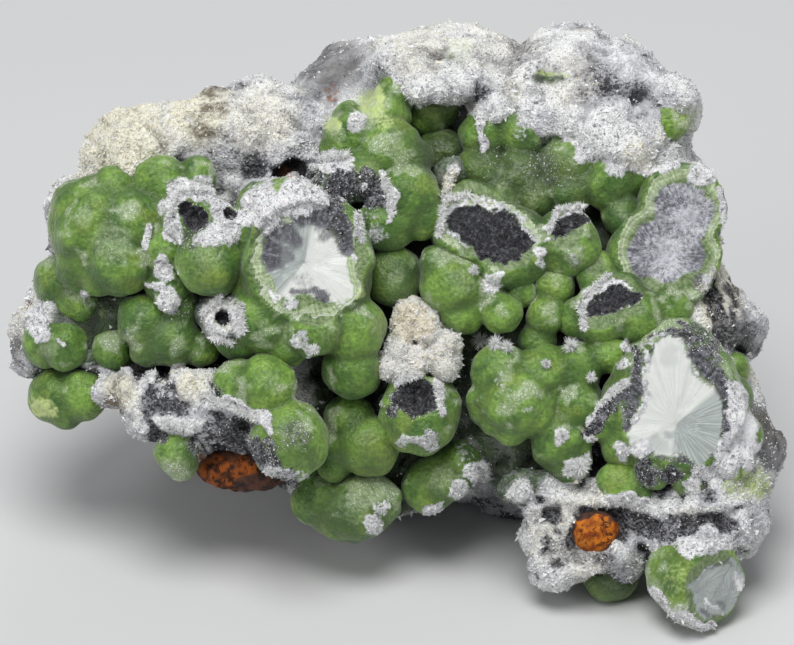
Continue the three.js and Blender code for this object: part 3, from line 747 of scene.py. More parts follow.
def rock_field(grid):
    """Distance to the rock at every place of its grid."""
    row = grid.points()
    face = to_face(row).astype(np.float32)
    field = np.minimum(lobes(face, FACE_LOBES, ROCK_BLEND), lobes(row, FOOT_LOBES, ROCK_BLEND))
    near = np.abs(field) < ROCK_ROUGHNESS
    at = row[near]
    show = face[near]
    seen = moved(show)
    # coatings lie on the show face; the back is broken stone instead of sugar
    front = ramp(show[:, 2], -14, -9)
    back = ramp(at[:, 1], 4, 12)
    crust = painted(seen, SNOW) * front
    pits = painted(seen, SOOT + POCKETS) * front
    bare = painted(seen, STONE) * front
    ragged = 0.3 * knobs(at, 1.5, 34) + 0.3 * knobs(at, 0.95, 35)
    field[near] -= crust * (0.1 + ragged) - 0.4 * pits * (1 - crust)
    rough = 0.9 * noise(at, 7.0, 1) + 0.65 * noise(at, 3.4, 2) + 0.32 * noise(at, 1.6, 3)
    sugar = 0.85 * knobs(at, 2.7, 4) + 0.5 * knobs(at, 1.35, 8) - 0.85
    crags = 0.75 * terraces(2.0 * noise(at + 3.0, 9.0, 12)) + 0.4 * terraces(2.2 * noise(at, 4.0, 15))
    field[near] -= (0.9 - 0.3 * back) * rough + (1 - 0.7 * back) * (1 - 0.7 * bare) * sugar
    field[near] -= (0.25 + 0.75 * np.maximum(back, bare)) * crags
    return np.maximum(hollowed(field, face), -row[:, 2])


def solid_ball(solid, grid, row):
    """Marks the places of the rock's grid that lie in a ball."""
    middle = to_row(np.array([row[:3]], float))[0]
    radius = row[3]
    first = np.clip(((middle - radius - grid.low) / grid.step).astype(int), 0, None)
    last = ((middle + radius - grid.low) / grid.step).astype(int) + 2
    part = solid[first[0]:last[0], first[1]:last[1], first[2]:last[2]]
    index = np.indices(part.shape).transpose(1, 2, 3, 0) + first
    part |= np.linalg.norm(grid.low + index * grid.step - middle, axis=3) < radius


def crowding(values, grid):
    """How much solid lies round each place of the rock's grid, from 0 to 1."""
    solid = values < 0
    for rows in BALLS.values():
        for row in rows:
            solid_ball(solid, grid, row)
    soft = solid.astype(np.float32)
    width = 2 * CROWD_REACH + 1
    for axis in (0, 1, 2, 0, 1, 2):
        ends = [(CROWD_REACH + 1, CROWD_REACH) if n == axis else (0, 0) for n in range(3)]
        padded = np.pad(soft, ends, mode="edge")
        summed = np.cumsum(padded, axis=axis)
        behind = np.arange(soft.shape[axis])
        soft = (np.take(summed, behind + width, axis=axis) - np.take(summed, behind, axis=axis)) / width
    return soft


# ---- Balls ----


def buds(rows, lumpiness, chance):
    """Each ball with the smaller swellings on its skin."""
    grown = []
    for u, v, w, radius in rows:
        grown.append([u, v, w, radius])
        count = int(9 + 3 * radius)
        turn = chance.uniform(0, math.tau)
        for n in range(count):
            height = 1 - 1.5 * (n + 0.5) / count
            angle = turn + n * GOLDEN_ANGLE
            level = math.sqrt(max(0.0, 1 - height * height))
            along = np.array([level * math.cos(angle), level * math.sin(angle), height])
            along += chance.normal(0, 0.18, 3)
            along /= np.linalg.norm(along)
            size = radius * chance.uniform(0.26, 0.5)
            proud = lumpiness * radius * chance.uniform(0.0, 0.12)
            grown.append([*(np.array([u, v, w]) + along * (radius - size + proud)), size])
    return np.array(grown)


def from_start(points, name):
    """The way to each point from the nearest start of an aggregate's fibres."""
    rays = np.stack([points - np.array(start) for start in BREAKS[name][2]])
    nearest = np.linalg.norm(rays, axis=2).argmin(axis=0)
    return rays[nearest, np.arange(len(points))]


def break_height(points, name):
    """How far points stand above an aggregate's broken face, which is rough, ribbed and a little dished."""
    point, facing = (np.array(row) for row in BREAKS[name][:2])
    height = (points - point) @ (facing / np.linalg.norm(facing))
    ray = from_start(points, name)
    reach = np.linalg.norm(ray, axis=1) + 1e-6
    ribs = noise(ray / reach[:, None] * 5 + reach[:, None] * 0.04, 1.0, 21)
    grit = noise(points, 0.7, 22) + 0.6 * knobs(points, 0.9, 23)
    if name in BREAK_REACH:
        u, v, far = BREAK_REACH[name]
        height = height - 2.0 * np.clip(np.hypot(points[:, 0] - u, points[:, 1] - v) - far, 0, None)
    if CORES[name][0][0] == "silk":
        return height + 0.12 * ribs + 0.05 * grit + 0.25 * np.exp(-(reach / 2.5) ** 2)
    return height + 0.2 * grit + 0.1 * ribs + 0.5 * np.exp(-(reach / 3.0) ** 2)


def ball_skin(name, chance):
    """An aggregate's skin in face axes, and how deep in the unbroken balls each corner lies."""
    lumpiness = LUMPINESS.get(name, USUAL_LUMPINESS)
    rows = np.array(BALLS[name], float)
    grown = buds(BALLS[name], lumpiness, chance)
    grid = grid_round(rows, BALL_STEP)
    points = grid.points()
    field = merged((to_ball(points, row) for row in grown), BALL_BLEND)
    near = np.abs(field) < BALL_ROUGHNESS
    at = points[near]
    lumps = 0.11 * (knobs(at, 1.5, 33) - 0.6) * lumpiness
    field[near] -= lumps + 0.1 * noise(at, 2.3, 30) + 0.06 * noise(at, 1.2, 31) + 0.04 * noise(at, 0.6, 32)
    crust = painted(moved(at), SNOW) * ramp(at[:, 2] - rows[:, 2].min(), 0, 1)
    field[near] -= crust * (0.1 + 0.3 * knobs(at, 0.85, 34))
    whole = field.copy()
    if name in BREAKS:
        field = np.maximum(field, break_height(points, name))
    field = hollowed(field, points)
    row = to_row(points)
    field = np.maximum(field, -(rock_grid.sample(rock_values, row) + BURIED))
    field = np.maximum(field, -row[:, 2])
    corners, quads = without_crumbs(*skin(field, grid), CRUMB)
    depth = -grid.sample(whole.reshape(grid.shape), corners)
    return corners, quads, np.clip(depth, 0, 9)


# ---- Coatings ----


def moved(face):
    """Where the camera sees face points, shifted about so that what is painted there has ragged edges."""
    seen = as_seen(face)
    for n in range(2):
        seen[:, n] += 0.45 * noise(face, 1.8, 41 + n) + 0.35 * noise(face, 0.8, 45 + n)
    return seen


def painted(seen, rows):
    """How strongly a table's coating covers each seen point."""
    total = np.zeros(len(seen))
    for row in rows:
        first, last = np.array(row[:2]), np.array(row[-4:-2])
        radius, amount = row[-2:]
        low = np.minimum(first, last) - GONE * radius
        high = np.maximum(first, last) + GONE * radius
        close = ((seen > low) & (seen < high)).all(axis=1)
        away = distance_to_line(seen[close], first, last) / radius
        total[close] = np.maximum(total[close], amount * (1 - ramp(away, FULL, GONE)))
    return total


def cavities(points, quads, normals):
    """0 on open skin, up to 1 in creases."""
    starts = quads.ravel()
    ends = np.roll(quads, -1, axis=1).ravel()
    count = np.bincount(starts, minlength=len(points)) + 1e-9
    around = points
    for _ in range(6):
        sums = [np.bincount(starts, around[ends, n], len(points)) for n in range(3)]
        around = np.stack(sums, axis=1) / count[:, None]
    return ramp(((around - points) * normals).sum(axis=1), 0.0, 0.16)


def coat_rock(masks, face, seen, up, out, deep, front):
    """Adds the druse, the painted shade between the balls and the stains of the rock to what is painted on
    it.
    """
    broad = noise(face, 6.0, 51)
    patchy = noise(face, 2.4, 52)
    far = 1 - front
    masks["soot"] *= 1 - 0.8 * ramp(masks["snow"], 0.45, 0.9)
    # field: painted shade on the rock between the balls; the crest's green pocket takes the same dark green.
    field = ramp(outline_depth(seen, BALL_FIELD) + patchy, -0.5, 1.5) * ramp(face[:, 2], -12, -8)
    masks["field"] = np.maximum(field, painted(seen, POCKETS)) * front * (1 - masks["snow"])
    # Less white druse in crevices and between the balls, as painted shade; more on upward faces, and less on
    # faces turned down and away from the front.
    sugar = 0.68 + 0.28 * broad + 0.3 * patchy + 0.15 * up - 1.2 * ramp(deep, 0.5, 0.75)
    sugar -= 0.5 * (1 - ramp(out, -0.5, 0.1)) * (1 - ramp(up, 0.2, 0.8)) + 0.7 * masks["field"]
    added = {
        "snow": np.clip(sugar, 0, 1) * (1 - masks["soot"]),
        "rust": far * ramp(noise(face, 7.0, 53) + 0.4 * patchy, 0.35, 0.8) * 0.7,
        "cream": 0.35 * ramp(broad - patchy, 0.2, 1.0),
        "stone": far * ramp(broad + 0.5 * patchy, -0.3, 0.5) * 0.8,
    }
    for name, values in added.items():
        masks[name] = np.maximum(masks[name], values)


def coatings(face, quads, normals, is_rock):
    """The coatings of a piece at its corners: face axes, row-frame normals."""
    seen = moved(face)
    up = normals[:, 2]
    out = normals @ FACE_TURN[:, 2]
    deep = rock_grid.sample(crowd, to_row(face) + normals * 0.6)
    front = ramp(out, -0.35, 0.0) * ramp(face[:, 2], -24, -18)
    tables = {"snow": SNOW, "soot": SOOT, "lime": LIME, "cream": CREAM, "stone": STONE, "rust": RUST,
              "silver": SILVER, "shade": SHADE}
    masks = {name: painted(seen, rows) * front for name, rows in tables.items()}
    # deep: how far each corner lies in a crevice or among crowding balls, where the materials paint shade.
    masks["deep"] = np.maximum(ramp(deep, 0.42, 0.78), 0.6 * cavities(face, quads, normals @ FACE_TURN))
    # The hollows are coloured with dark and black druse and kept free of white: painted shade inside them.
    pit = np.zeros(len(face))
    for u, v, w, radius in HOLLOWS:
        pit = np.maximum(pit, 1 - ramp(np.linalg.norm(face - [u, v, w], axis=1) / radius, 0.9, 1.35))
    masks["snow"] *= 1 - pit
    masks["soot"] = np.maximum(masks["soot"], pit)
    masks["pit"] = pit
    if is_rock:
        coat_rock(masks, face, seen, up, out, deep, front)
    else:
        # a pale veil of fine crystals in patches, with painted highlight: more of it on upward faces
        frost_and_highlight = ramp(noise(face, 2.2, 55) + 0.7 * noise(face, 0.8, 56) + 0.4 * up, 0.3, 1.1)
        masks["frost_and_highlight"] = np.maximum(frost_and_highlight, painted(seen, FROST_AND_HIGHLIGHT) * front) * (1 - 0.75 * masks["shade"])
    return masks


TONES = np.random.default_rng(7).uniform(-1, 1, 400)  # balls are lighter or darker by these


def whole_balls(name, corners):
    """The creases between unbroken balls, where shade is painted, the rings round each of them and its tone.
    """
    rows = np.array(BALLS[name], float)
    away = np.stack([np.linalg.norm(corners - row[:3], axis=1) - row[3] for row in rows], axis=1)
    order = np.sort(away, axis=1)
    nearest = away.argmin(axis=1)
    from_middle = corners - rows[nearest, :3]
    turned = from_middle @ np.array([0.15, -0.25, 0.95]) / (np.linalg.norm(from_middle, axis=1) + 1e-6)
    alone = len(rows) == 1
    return {
        "crease_shade": np.zeros(len(corners)) if alone else 1 - ramp(order[:, 1] - order[:, 0], 0.0, 1.1),
        "ring": np.arccos(np.clip(turned, -1, 1)) * rows[nearest, 3],
        "tone": TONES[(nearest * 13 + len("wavellite_" + name) * 7) % len(TONES)],
    }


def add_cores(name, seen, out, ragged, coats):
    """Adds silky, felted and sooty cores to the coatings, with a fringe of druse round the sooty ones."""
    for core, outline in CORES.get(name, []):
        inside = outline_depth(seen, outline) + ragged
        coats[core] = np.maximum(coats[core], ramp(inside, -0.12, 0.12) * ramp(out, 0.0, 0.3))
        if core == "silk":
            coats[core] *= ramp(coats["broken"], 0.0, 0.5)
        if core == "core_soot":
            upper = ramp((seen - np.mean(outline, axis=0)) @ np.array([-0.5, 0.85]), -0.8, 0.6)
            fringe = (1 - ramp(np.abs(inside + 0.2), 0.1, 0.45)) * (0.2 + 0.6 * upper)
            coats["snow"] = np.maximum(coats["snow"], fringe)


def add_rind(name, corners, seen, depth, ragged, coats):
    """Adds how far each corner of a broken face is from the edge of its banded rind, if it has one."""
    broken = coats["broken"] > 0.05
    if BREAKS[name][3] == "bands":
        coats["rind"] = np.where(broken, 1.3 * depth, 9.0)
    if name in RINDS:
        edge = outline_depth(seen, RINDS[name]) + ragged + 0.25 * noise(corners, 2.0, 48)
        coats["rind"] = np.where((edge > -0.15) & broken, np.clip(1.5 * edge, 0.05, 9), 9.0)


def add_wedge(name, ray, coats):
    """Adds the grey wedge of a silky face."""
    first, last = WEDGES[name]
    angle = np.degrees(np.arctan2(ray[:, 1], ray[:, 0]))
    off = np.abs((angle - (first + last) / 2 + 180) % 360 - 180)
    coats["silver"] = np.maximum(coats["silver"], 1 - ramp(off - (last - first) / 2, -12, 6))


def add_druse(corners, coats):
    """Adds white and black druse where a broken face isn't silky."""
    bare = coats["broken"] * (1 - coats["silk"])
    patchy = noise(corners, 1.6, 47)
    white = bare * ramp(patchy, -0.5, 0.3) * (1 - coats["soot"])
    coats["snow"] = np.maximum(coats["snow"], 0.8 * white)
    coats["soot"] = np.maximum(coats["soot"], bare * ramp(patchy, 0.3, -0.5))


def add_inside(name, corners, out, depth, coats):
    """Adds what balls and their broken faces are made of, and gives the way from where fibres start."""
    seen = as_seen(corners)
    ragged = 0.35 * noise(corners, 0.9, 43) + 0.2 * noise(corners, 0.45, 44)
    nothing = np.zeros(len(corners))
    # the hollows are nearly black on the balls too: painted shade
    coats.update(whole_balls(name, corners), silk=nothing, felt=nothing, core_soot=coats["pit"])
    coats.update(broken=nothing, rind=np.full(len(corners), 9.0))
    if name in BREAKS:
        coats["broken"] = ramp(depth, 0.12, 0.3) * ramp(break_height(corners, name), -0.35, -0.15)
    add_cores(name, seen, out, ragged, coats)
    if name not in BREAKS:
        return np.zeros((len(corners), 3))
    ray = from_start(corners, name)
    add_rind(name, corners, seen, depth, ragged, coats)
    if name in WEDGES:
        add_wedge(name, ray, coats)
    if BREAKS[name][3] == "druse":
        add_druse(corners, coats)
    return ray


# ---- Meshes ----


def mesh_piece(name, points, faces, smooth):
    """A mesh object from points in millimetres in the row frame."""
    mesh = bpy.data.meshes.new(name)
    mesh.vertices.add(len(points))
    mesh.vertices.foreach_set("co", (points * METRES).astype(np.float32).ravel())
    mesh.loops.add(faces.size)
    mesh.loops.foreach_set("vertex_index", faces.astype(np.int32).ravel())
    mesh.polygons.add(len(faces))
    mesh.polygons.foreach_set("loop_start", np.arange(len(faces), dtype=np.int32) * faces.shape[1])
    mesh.update(calc_edges=True)
    mesh.polygons.foreach_set("use_smooth", np.full(len(faces), smooth))
    return placed(bpy.data.objects.new(name, mesh))


def placed(thing):
    """An object, now part of the scene."""
    bpy.context.scene.collection.objects.link(thing)
    return thing


def add_layer(piece, name, kind, key, values):
    """Gives each corner of a mesh a value that its material can read."""
    layer = piece.data.attributes.new(name, kind, "POINT")
    layer.data.foreach_set(key, values.astype(np.float32).ravel())


def finish_piece(piece, material, slot, *nodes):
    """Gives a piece its material, puts it on the root body, and hides the CAD nodes it stands for."""
    piece.data.materials.append(material)
    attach(piece, "root")
    if nodes:
        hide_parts(*nodes)


surfaces = []  # every grown surface, for crystals to sit on


def grown_piece(name, row, quads, material, slot, node, kind, masks, normals, rays=None):
    """A finished surface in place of a CAD node, which crystals can sit on."""
    piece = mesh_piece(name, row, quads, True)
    for mask, values in masks.items():
        add_layer(piece, mask, "FLOAT", "value", values)
    if rays is not None:
        add_layer(piece, "ray", "FLOAT_VECTOR", "vector", rays)
    finish_piece(piece, material, slot, node)
    surfaces.append({"points": row, "quads": quads, "normals": normals, "masks": masks, "kind": kind})


# ---- Materials ----


def add_node(tree, kind, inputs, **settings):
    """A node with its settings. Each input is a number, a list, a colour as a tuple, or an output to link."""
    node = tree.nodes.new(kind)
    for key, value in settings.items():
        setattr(node, key, value)
    for key, value in inputs.items():
        if isinstance(value, Value):
            value = value.socket
        if isinstance(value, bpy.types.NodeSocket):
            tree.links.new(value, node.inputs[key])
        elif isinstance(value, tuple):
            node.inputs[key].default_value = (*value, 1.0)
        else:
            node.inputs[key].default_value = value
    return node


def maths(operation, a, b=0.0):
    """A sum of two values, or of a value and a number."""
    tree = (a if isinstance(a, Value) else b).socket.id_data
    return Value(add_node(tree, "ShaderNodeMath", {0: a, 1: b}, operation=operation).outputs[0])


class Value:
    """A number that differs from place to place on a surface: the output of a node."""

    def __init__(self, socket):
        self.socket = socket

    def __add__(self, other):
        return maths("ADD", self, other)

    def __sub__(self, other):
        return maths("SUBTRACT", self, other)

    def __rsub__(self, other):
        return maths("SUBTRACT", other, self)

    def __mul__(self, other):
        return maths("MULTIPLY", self, other)

    def __abs__(self):
        return maths("ABSOLUTE", self)

    def rise(self, low, high):
        """0 up to low, 1 from high, smooth between."""
        inputs = {"Value": self, "From Min": low, "From Max": high}
        tree = self.socket.id_data
        return Value(add_node(tree, "ShaderNodeMapRange", inputs, interpolation_type="SMOOTHSTEP").outputs[0])


class Recipe:
    """A material in the making."""

    def __init__(self, name):
        self.material = bpy.data.materials.new(name)
        self.material.use_nodes = True
        self.tree = self.material.node_tree
        self.tree.nodes.clear()
        self.places = self.output("ShaderNodeTexCoord", "Object", {})

    def output(self, kind, name, inputs, **settings):
        return add_node(self.tree, kind, inputs, **settings).outputs[name]

    def mask(self, name):
        """What was worked out for each corner of the mesh."""
        return Value(self.output("ShaderNodeAttribute", "Fac", {}, attribute_name=name))

    def scaled(self, size):
        """The inputs of a texture whose grains have a size in millimetres."""
        return {"Vector": self.places, "Scale": 1 / (size * METRES)}

    def grain(self, size, detail=2, distortion=0):
        """Noise from 0 to 1 with grains of a size in millimetres."""
        inputs = {**self.scaled(size), "Detail": detail, "Distortion": distortion}
        return Value(self.output("ShaderNodeTexNoise", "Fac", inputs))

    def to_cell(self, size):
        """How far each place is from the middle of its crystal, in crystals' widths."""
        return Value(self.output("ShaderNodeTexVoronoi", "Distance", self.scaled(size)))

    def each_cell(self, size):
        """One number from 0 to 1 for each crystal."""
        colour = self.output("ShaderNodeTexVoronoi", "Color", self.scaled(size))
        return Value(self.output("ShaderNodeSeparateColor", 0, {0: colour}))

    def mix(self, share, a, b, blend="MIX"):
        """Colour a where the share is 0, b where it is 1."""
        # inputs 6 and 7 and output 2 are the node's colours
        return self.output("ShaderNodeMix", 2, {0: share, 6: a, 7: b}, data_type="RGBA", blend_type=blend)

    def shade(self, colour, by):
        """A colour made darker or lighter by a value."""
        return self.mix(1.0, colour, by, "MULTIPLY")

    def coated(self, colour, *coats):
        """A colour under coats, each of them a share from 0 to 1 and a colour."""
        for share, coat in coats:
            colour = self.mix(share, colour, coat)
        return colour

    def close(self, colour, roughness, height, bump_mm, plain=()):
        """The material, once its surface shader is in; heights from 0 to 1 are worth bump_mm."""
        inputs = {"Height": height, "Distance": bump_mm * METRES, "Strength": 1.0}
        bump = self.output("ShaderNodeBump", 0, inputs)
        inputs = {"Base Color": colour, "Roughness": roughness, "Normal": bump, **dict(plain)}
        surface = self.output("ShaderNodeBsdfPrincipled", 0, inputs)
        add_node(self.tree, "ShaderNodeOutputMaterial", {"Surface": surface})
        return self.material


def sugar_colour(recipe, snow, cream):
    """White to grey sugary crystals, from how thick they lie."""
    thick = snow + (recipe.each_cell(0.24) - 0.5) * 0.35
    thick = thick + (recipe.grain(0.9, 3) - 0.5) + (recipe.grain(2.6, 4) - 0.53) * 1.6
    grey = recipe.mix(thick.rise(0, 0.4), (0.06, 0.06, 0.068), (0.46, 0.46, 0.485))
    white = recipe.mix(thick.rise(0.4, 1), grey, (0.82, 0.82, 0.82))
    warm = recipe.mix(thick.rise(0.2, 0.9), (0.20, 0.17, 0.11), (0.80, 0.77, 0.62))
    return recipe.mix(cream, white, warm)


def soot_colour(recipe, core):
    """Dark drusy grains; nearly black where core is 1."""
    glint = recipe.grain(0.5, 5) + recipe.each_cell(0.17) * 0.45
    grey = recipe.mix(glint.rise(0.56, 1.08), (0.012, 0.012, 0.015), (0.27, 0.27, 0.29))
    black = recipe.mix(glint.rise(0.66, 1.1), (0.005, 0.005, 0.007), (0.085, 0.085, 0.095))
    return recipe.mix(core, grey, black)


def sugar_height(recipe):
    """Bumps of sugary crystals."""
    return recipe.to_cell(0.28) * -0.7 + recipe.grain(0.5, 3)


def rock_material():
    """Druse on grey stone, with lime, soot and rust, and painted shade: dark green between the balls and
    darker crevices.
    """
    recipe = Recipe("drusy rock")
    mask, grain, mix = recipe.mask, recipe.grain, recipe.mix
    fine = grain(0.4, 3) - 0.5
    stone = mix(grain(1.6, 6).rise(0.35, 0.65), (0.07, 0.07, 0.078), (0.21, 0.205, 0.21))
    stone = mix(grain(5).rise(0.5, 0.75) * 0.35, stone, (0.19, 0.16, 0.12))
    stone = mix(abs(grain(7, 5) - 0.5).rise(0, 0.02), (0.03, 0.028, 0.026), stone)
    # painted shade between the balls: dark green and black
    between = mix(grain(1.2).rise(0.3, 0.7), (0.02, 0.035, 0.01), (0.07, 0.12, 0.04))
    stain = mix(grain(0.8, 4).rise(0.35, 0.7), (0.09, 0.03, 0.012), (0.42, 0.16, 0.04))
    colour = recipe.coated(
        sugar_colour(recipe, mask("snow"), mask("cream")),
        (mask("stone"), stone),
        (mask("field") * 0.75, between),
        ((mask("lime") + fine).rise(0.2, 1.1), (0.44, 0.54, 0.22)),
        # dark druse, nearly black in the hollows as painted shade
        ((mask("soot") + fine * 1.8).rise(0.3, 0.8), soot_colour(recipe, mask("pit"))),
        ((mask("rust") + grain(0.7, 4) - 0.5).rise(0.35, 0.8), stain),
    )
    # Painted shade: darker in crevices and where balls crowd round the rock.
    colour = recipe.shade(colour, 1 - mask("deep") * 0.7)
    return recipe.close(colour, grain(0.6).rise(-0.6, 1), sugar_height(recipe), 0.22)


def green_colour(recipe, soft, fine, haze_and_highlight, frost_and_highlight):
    """Unbroken wavellite: mottled green, with painted shade in the creases, crevices and shaded hollows, a
    pale veil that is partly painted highlight, and specks of fine crystals.
    """
    mask, mix = recipe.mask, recipe.mix
    green = mix((soft + mask("tone") * 0.1).rise(0.3, 0.72), (0.05, 0.13, 0.012), (0.18, 0.325, 0.045))
    green = mix(recipe.grain(3.4, 1).rise(0.5, 0.72) * 0.5, green, (0.22, 0.30, 0.042))
    rings = maths("SINE", mask("ring") * 9 + soft * 6)
    green = recipe.shade(green, rings * 0.04 + fine * 1.5 + 1)
    specks = frost_and_highlight * 0.4 - recipe.to_cell(0.24)
    return recipe.coated(
        green,
        # painted shade in the creases between balls
        (mask("crease_shade") * 0.65, (0.05, 0.11, 0.012)),
        # painted shade in crevices and among crowding balls
        (mask("deep") * 0.6, (0.03, 0.06, 0.012)),
        # painted shade where balls lie in shadow
        (mask("shade") * 0.8, (0.035, 0.06, 0.018)),
        ((mask("lime") + fine).rise(0.3, 0.9), (0.52, 0.62, 0.24)),
        # pale veil, partly painted highlight on the tops
        (haze_and_highlight * 0.65, (0.36, 0.44, 0.26)),
        (specks.rise(0.02, 0.12) * 0.75, (0.66, 0.70, 0.60)),
    )


def silk_colour(recipe, fibres, streak):
    """Silky fibres, white or grey and clear."""
    white = recipe.mix(streak, (0.64, 0.66, 0.62), (0.74, 0.75, 0.72))
    silver = recipe.mix(streak, (0.27, 0.30, 0.29), (0.48, 0.52, 0.50))
    return recipe.mix((recipe.mask("silver") + fibres - 0.5).rise(0.15, 1), white, silver)


def rind_colour(recipe, rind, streak, haze_and_highlight):
    """The banded, streaked rim of a broken shell, pale at its very edge."""
    band = maths("SINE", rind * 13)
    edge = recipe.mix(band.rise(-0.4, 1), (0.33, 0.42, 0.22), (0.46, 0.54, 0.34))
    edge = recipe.shade(edge, streak * 0.45 + 0.7)
    # paler under the pale veil, partly painted highlight
    edge = recipe.mix(haze_and_highlight * 0.5, edge, (0.56, 0.60, 0.54))
    return recipe.mix(rind.rise(0.3, 0.5), (0.56, 0.60, 0.50), edge)


def fibre_pattern(recipe):
    """Fibres that run from their start and differ with the way they point, and how far off the start is."""
    ray = recipe.output("ShaderNodeAttribute", "Vector", {}, attribute_name="ray")
    along = recipe.output("ShaderNodeVectorMath", 0, {0: ray}, operation="NORMALIZE")
    fibres = recipe.output("ShaderNodeTexNoise", "Fac", {"Vector": along, "Scale": 20, "Detail": 6})
    reach = recipe.output("ShaderNodeVectorMath", "Value", {0: ray}, operation="LENGTH")
    return Value(fibres), Value(reach)


def soot_coat(recipe, dark, core, fibres, fine):
    """Dark coating: grains on skin, and smoke that is streaked along the fibres on a broken face."""
    smoky = recipe.mask("broken") * (1 - core)
    frayed = fibres + fine
    smoke = recipe.mix(frayed.rise(0.3, 0.8), (0.025, 0.025, 0.033), (0.22, 0.22, 0.25))
    cover = recipe.mix(smoky, (dark + fine).rise(0.3, 0.8), (dark + frayed - 0.5).rise(0.1, 1))
    return cover, recipe.mix(smoky, soot_colour(recipe, core), smoke)


def wavellite_material():
    """Green balls and, where they are broken, rinds, silk, felt, soot and druse."""
    recipe = Recipe("wavellite")
    mask, mix = recipe.mask, recipe.mix
    fibres, reach = fibre_pattern(recipe)
    soft = recipe.grain(2.4, 3)
    fine = recipe.grain(0.4, 3) - 0.5
    streak = fibres.rise(0.32, 0.68)
    frost_and_highlight = mask("frost_and_highlight") + fine
    haze_and_highlight = frost_and_highlight.rise(0.1, 1.1)
    lip = mix((fine + streak * 0.3).rise(-0.2, 0.5), (0.07, 0.13, 0.03), (0.24, 0.32, 0.14))
    felt = mix((fibres - reach * 0.1 + soft + fine).rise(0.4, 1.15), (0.11, 0.11, 0.135), (0.62, 0.62, 0.66))
    rind = mask("rind") + soft * 0.5
    core = mask("core_soot")
    dark = maths("MAXIMUM", mask("soot"), core)
    snow = mask("snow")
    thick = snow + fine * 1.2
    colour = recipe.coated(
        green_colour(recipe, soft, fine, haze_and_highlight, frost_and_highlight),
        (mask("broken"), lip),
        (mask("silk"), silk_colour(recipe, fibres, streak)),
        (mask("felt"), felt),
        (1 - rind.rise(1.2, 1.8), rind_colour(recipe, rind, streak, haze_and_highlight)),
        soot_coat(recipe, dark, core, fibres, fine),
        (thick.rise(0.42, 0.75), sugar_colour(recipe, snow, mask("cream"))),
    )
    roughness = maths("MAXIMUM", thick, dark + fine).rise(0.3, 0.7) * 0.44 + 0.36
    height = recipe.grain(0.4, 4) * (1 - mask("silk") * 0.9) + fibres * 0.25
    glow = {
        "Subsurface Weight": 0.12,
        "Subsurface Radius": [0.35, 1.0, 0.2],
        "Subsurface Scale": 0.9 * METRES,
        "Sheen Weight": 0.22,
    }
    return recipe.close(colour, roughness, height, 0.24, glow)


def crust_material():
    """Pale, earthy crust."""
    recipe = Recipe("pale crust")
    fluff = recipe.grain(0.7, 4)
    warm = (recipe.mask("cream") + fluff - 0.5).rise(0.5, 1)
    tan = recipe.mix(warm, (0.70, 0.69, 0.65), (0.72, 0.65, 0.52))
    colour = recipe.mix(fluff.rise(0.2, 0.5), (0.50, 0.46, 0.38), tan)
    return recipe.close(colour, 0.85, fluff + sugar_height(recipe), 0.2)


def limonite_material(name, dark, light):
    """Rusty ochre with cracks, and dark patches where the soot mask lies, which are partly painted shade."""
    recipe = Recipe(name)
    grit = recipe.grain(0.9, 6)
    # dark patches, partly painted shade: the nodule's darker top and the seam under the arm
    dark_patches_and_shade = recipe.mix(grit.rise(0.35, 0.65), (0.025, 0.016, 0.014), (0.11, 0.045, 0.028))
    colour = recipe.coated(
        recipe.mix(grit.rise(0.38, 0.62), dark, light),
        (recipe.grain(0.7, 5, 1.6).rise(0.52, 0.66), (0.035, 0.010, 0.004)),
        ((recipe.mask("soot") + grit - 0.5).rise(0.2, 0.8), dark_patches_and_shade),
    )
    return recipe.close(colour, 0.75, grit, 0.2, {"Specular IOR Level": 0.25})


def crystal_material(name, dark, light, roughness):
    """Small plain crystals, some darker than others."""
    recipe = Recipe(name)
    colour = recipe.mix(recipe.grain(0.5, 1).rise(0.3, 0.7), dark, light)
    return recipe.close(colour, roughness, recipe.grain(0.15), 0.02)


# ---- Building ----

rock_grid = Grid(*ROCK_BOX, ROCK_STEP)
rock = rock_field(rock_grid)
rock_values = rock.reshape(rock_grid.shape).copy()
crowd = crowding(rock_values, rock_grid)


def build_rock(material):
    """The rock's surface, cut flat at the base."""
    points, quads = without_crumbs(*skin(rock, rock_grid), CRUMB)
    points[:, 2] = np.maximum(points[:, 2], 0)
    normals = normals_of(points, quads)
    masks = coatings(to_face(points), quads, normals, True)
    grown_piece("matrix_rock", points, quads, material, "matrix_rock", "matrix", "rock", masks, normals)


def build_patch(name, material, slot, sizes):
    """A patch of another mineral; sizes are the scale, amount and seed of the knobs on its skin."""
    rows = PATCHES[name]
    grid = grid_round(rows, PATCH_STEP)
    points = grid.points()
    field = lobes(points, rows, PATCH_BLEND)
    for scale, amount, seed in sizes:
        field -= amount * (knobs(points, scale, seed) - 0.5)
    field = np.maximum(field, -(rock_grid.sample(rock_values, to_row(points)) + BURIED))
    corners, quads = without_crumbs(*skin(field, grid), PATCH_CRUMB)
    row = to_row(corners)
    normals = normals_of(row, quads)
    masks = coatings(corners, quads, normals, False)
    grown_piece(name + "_grown", row, quads, material, slot, name, name, masks, normals)


def build_balls(material):
    """One surface for each aggregate, whose balls have swellings of their own."""
    for number, name in enumerate(BALLS):
        corners, quads, depth = ball_skin(name, np.random.default_rng(BALL_SEED + number))
        row = to_row(corners)
        normals = normals_of(row, quads)
        masks = coatings(corners, quads, normals, False)
        rays = add_inside(name, corners, normals @ FACE_TURN[:, 2], depth, masks)
        node = "wavellite_" + name
        slot = "split_wavellite" if name in OPEN_BALLS else "wavellite"
        grown_piece(node + "_grown", row, quads, material, slot, node, "balls", masks, normals, rays)


# ---- Crystals ----

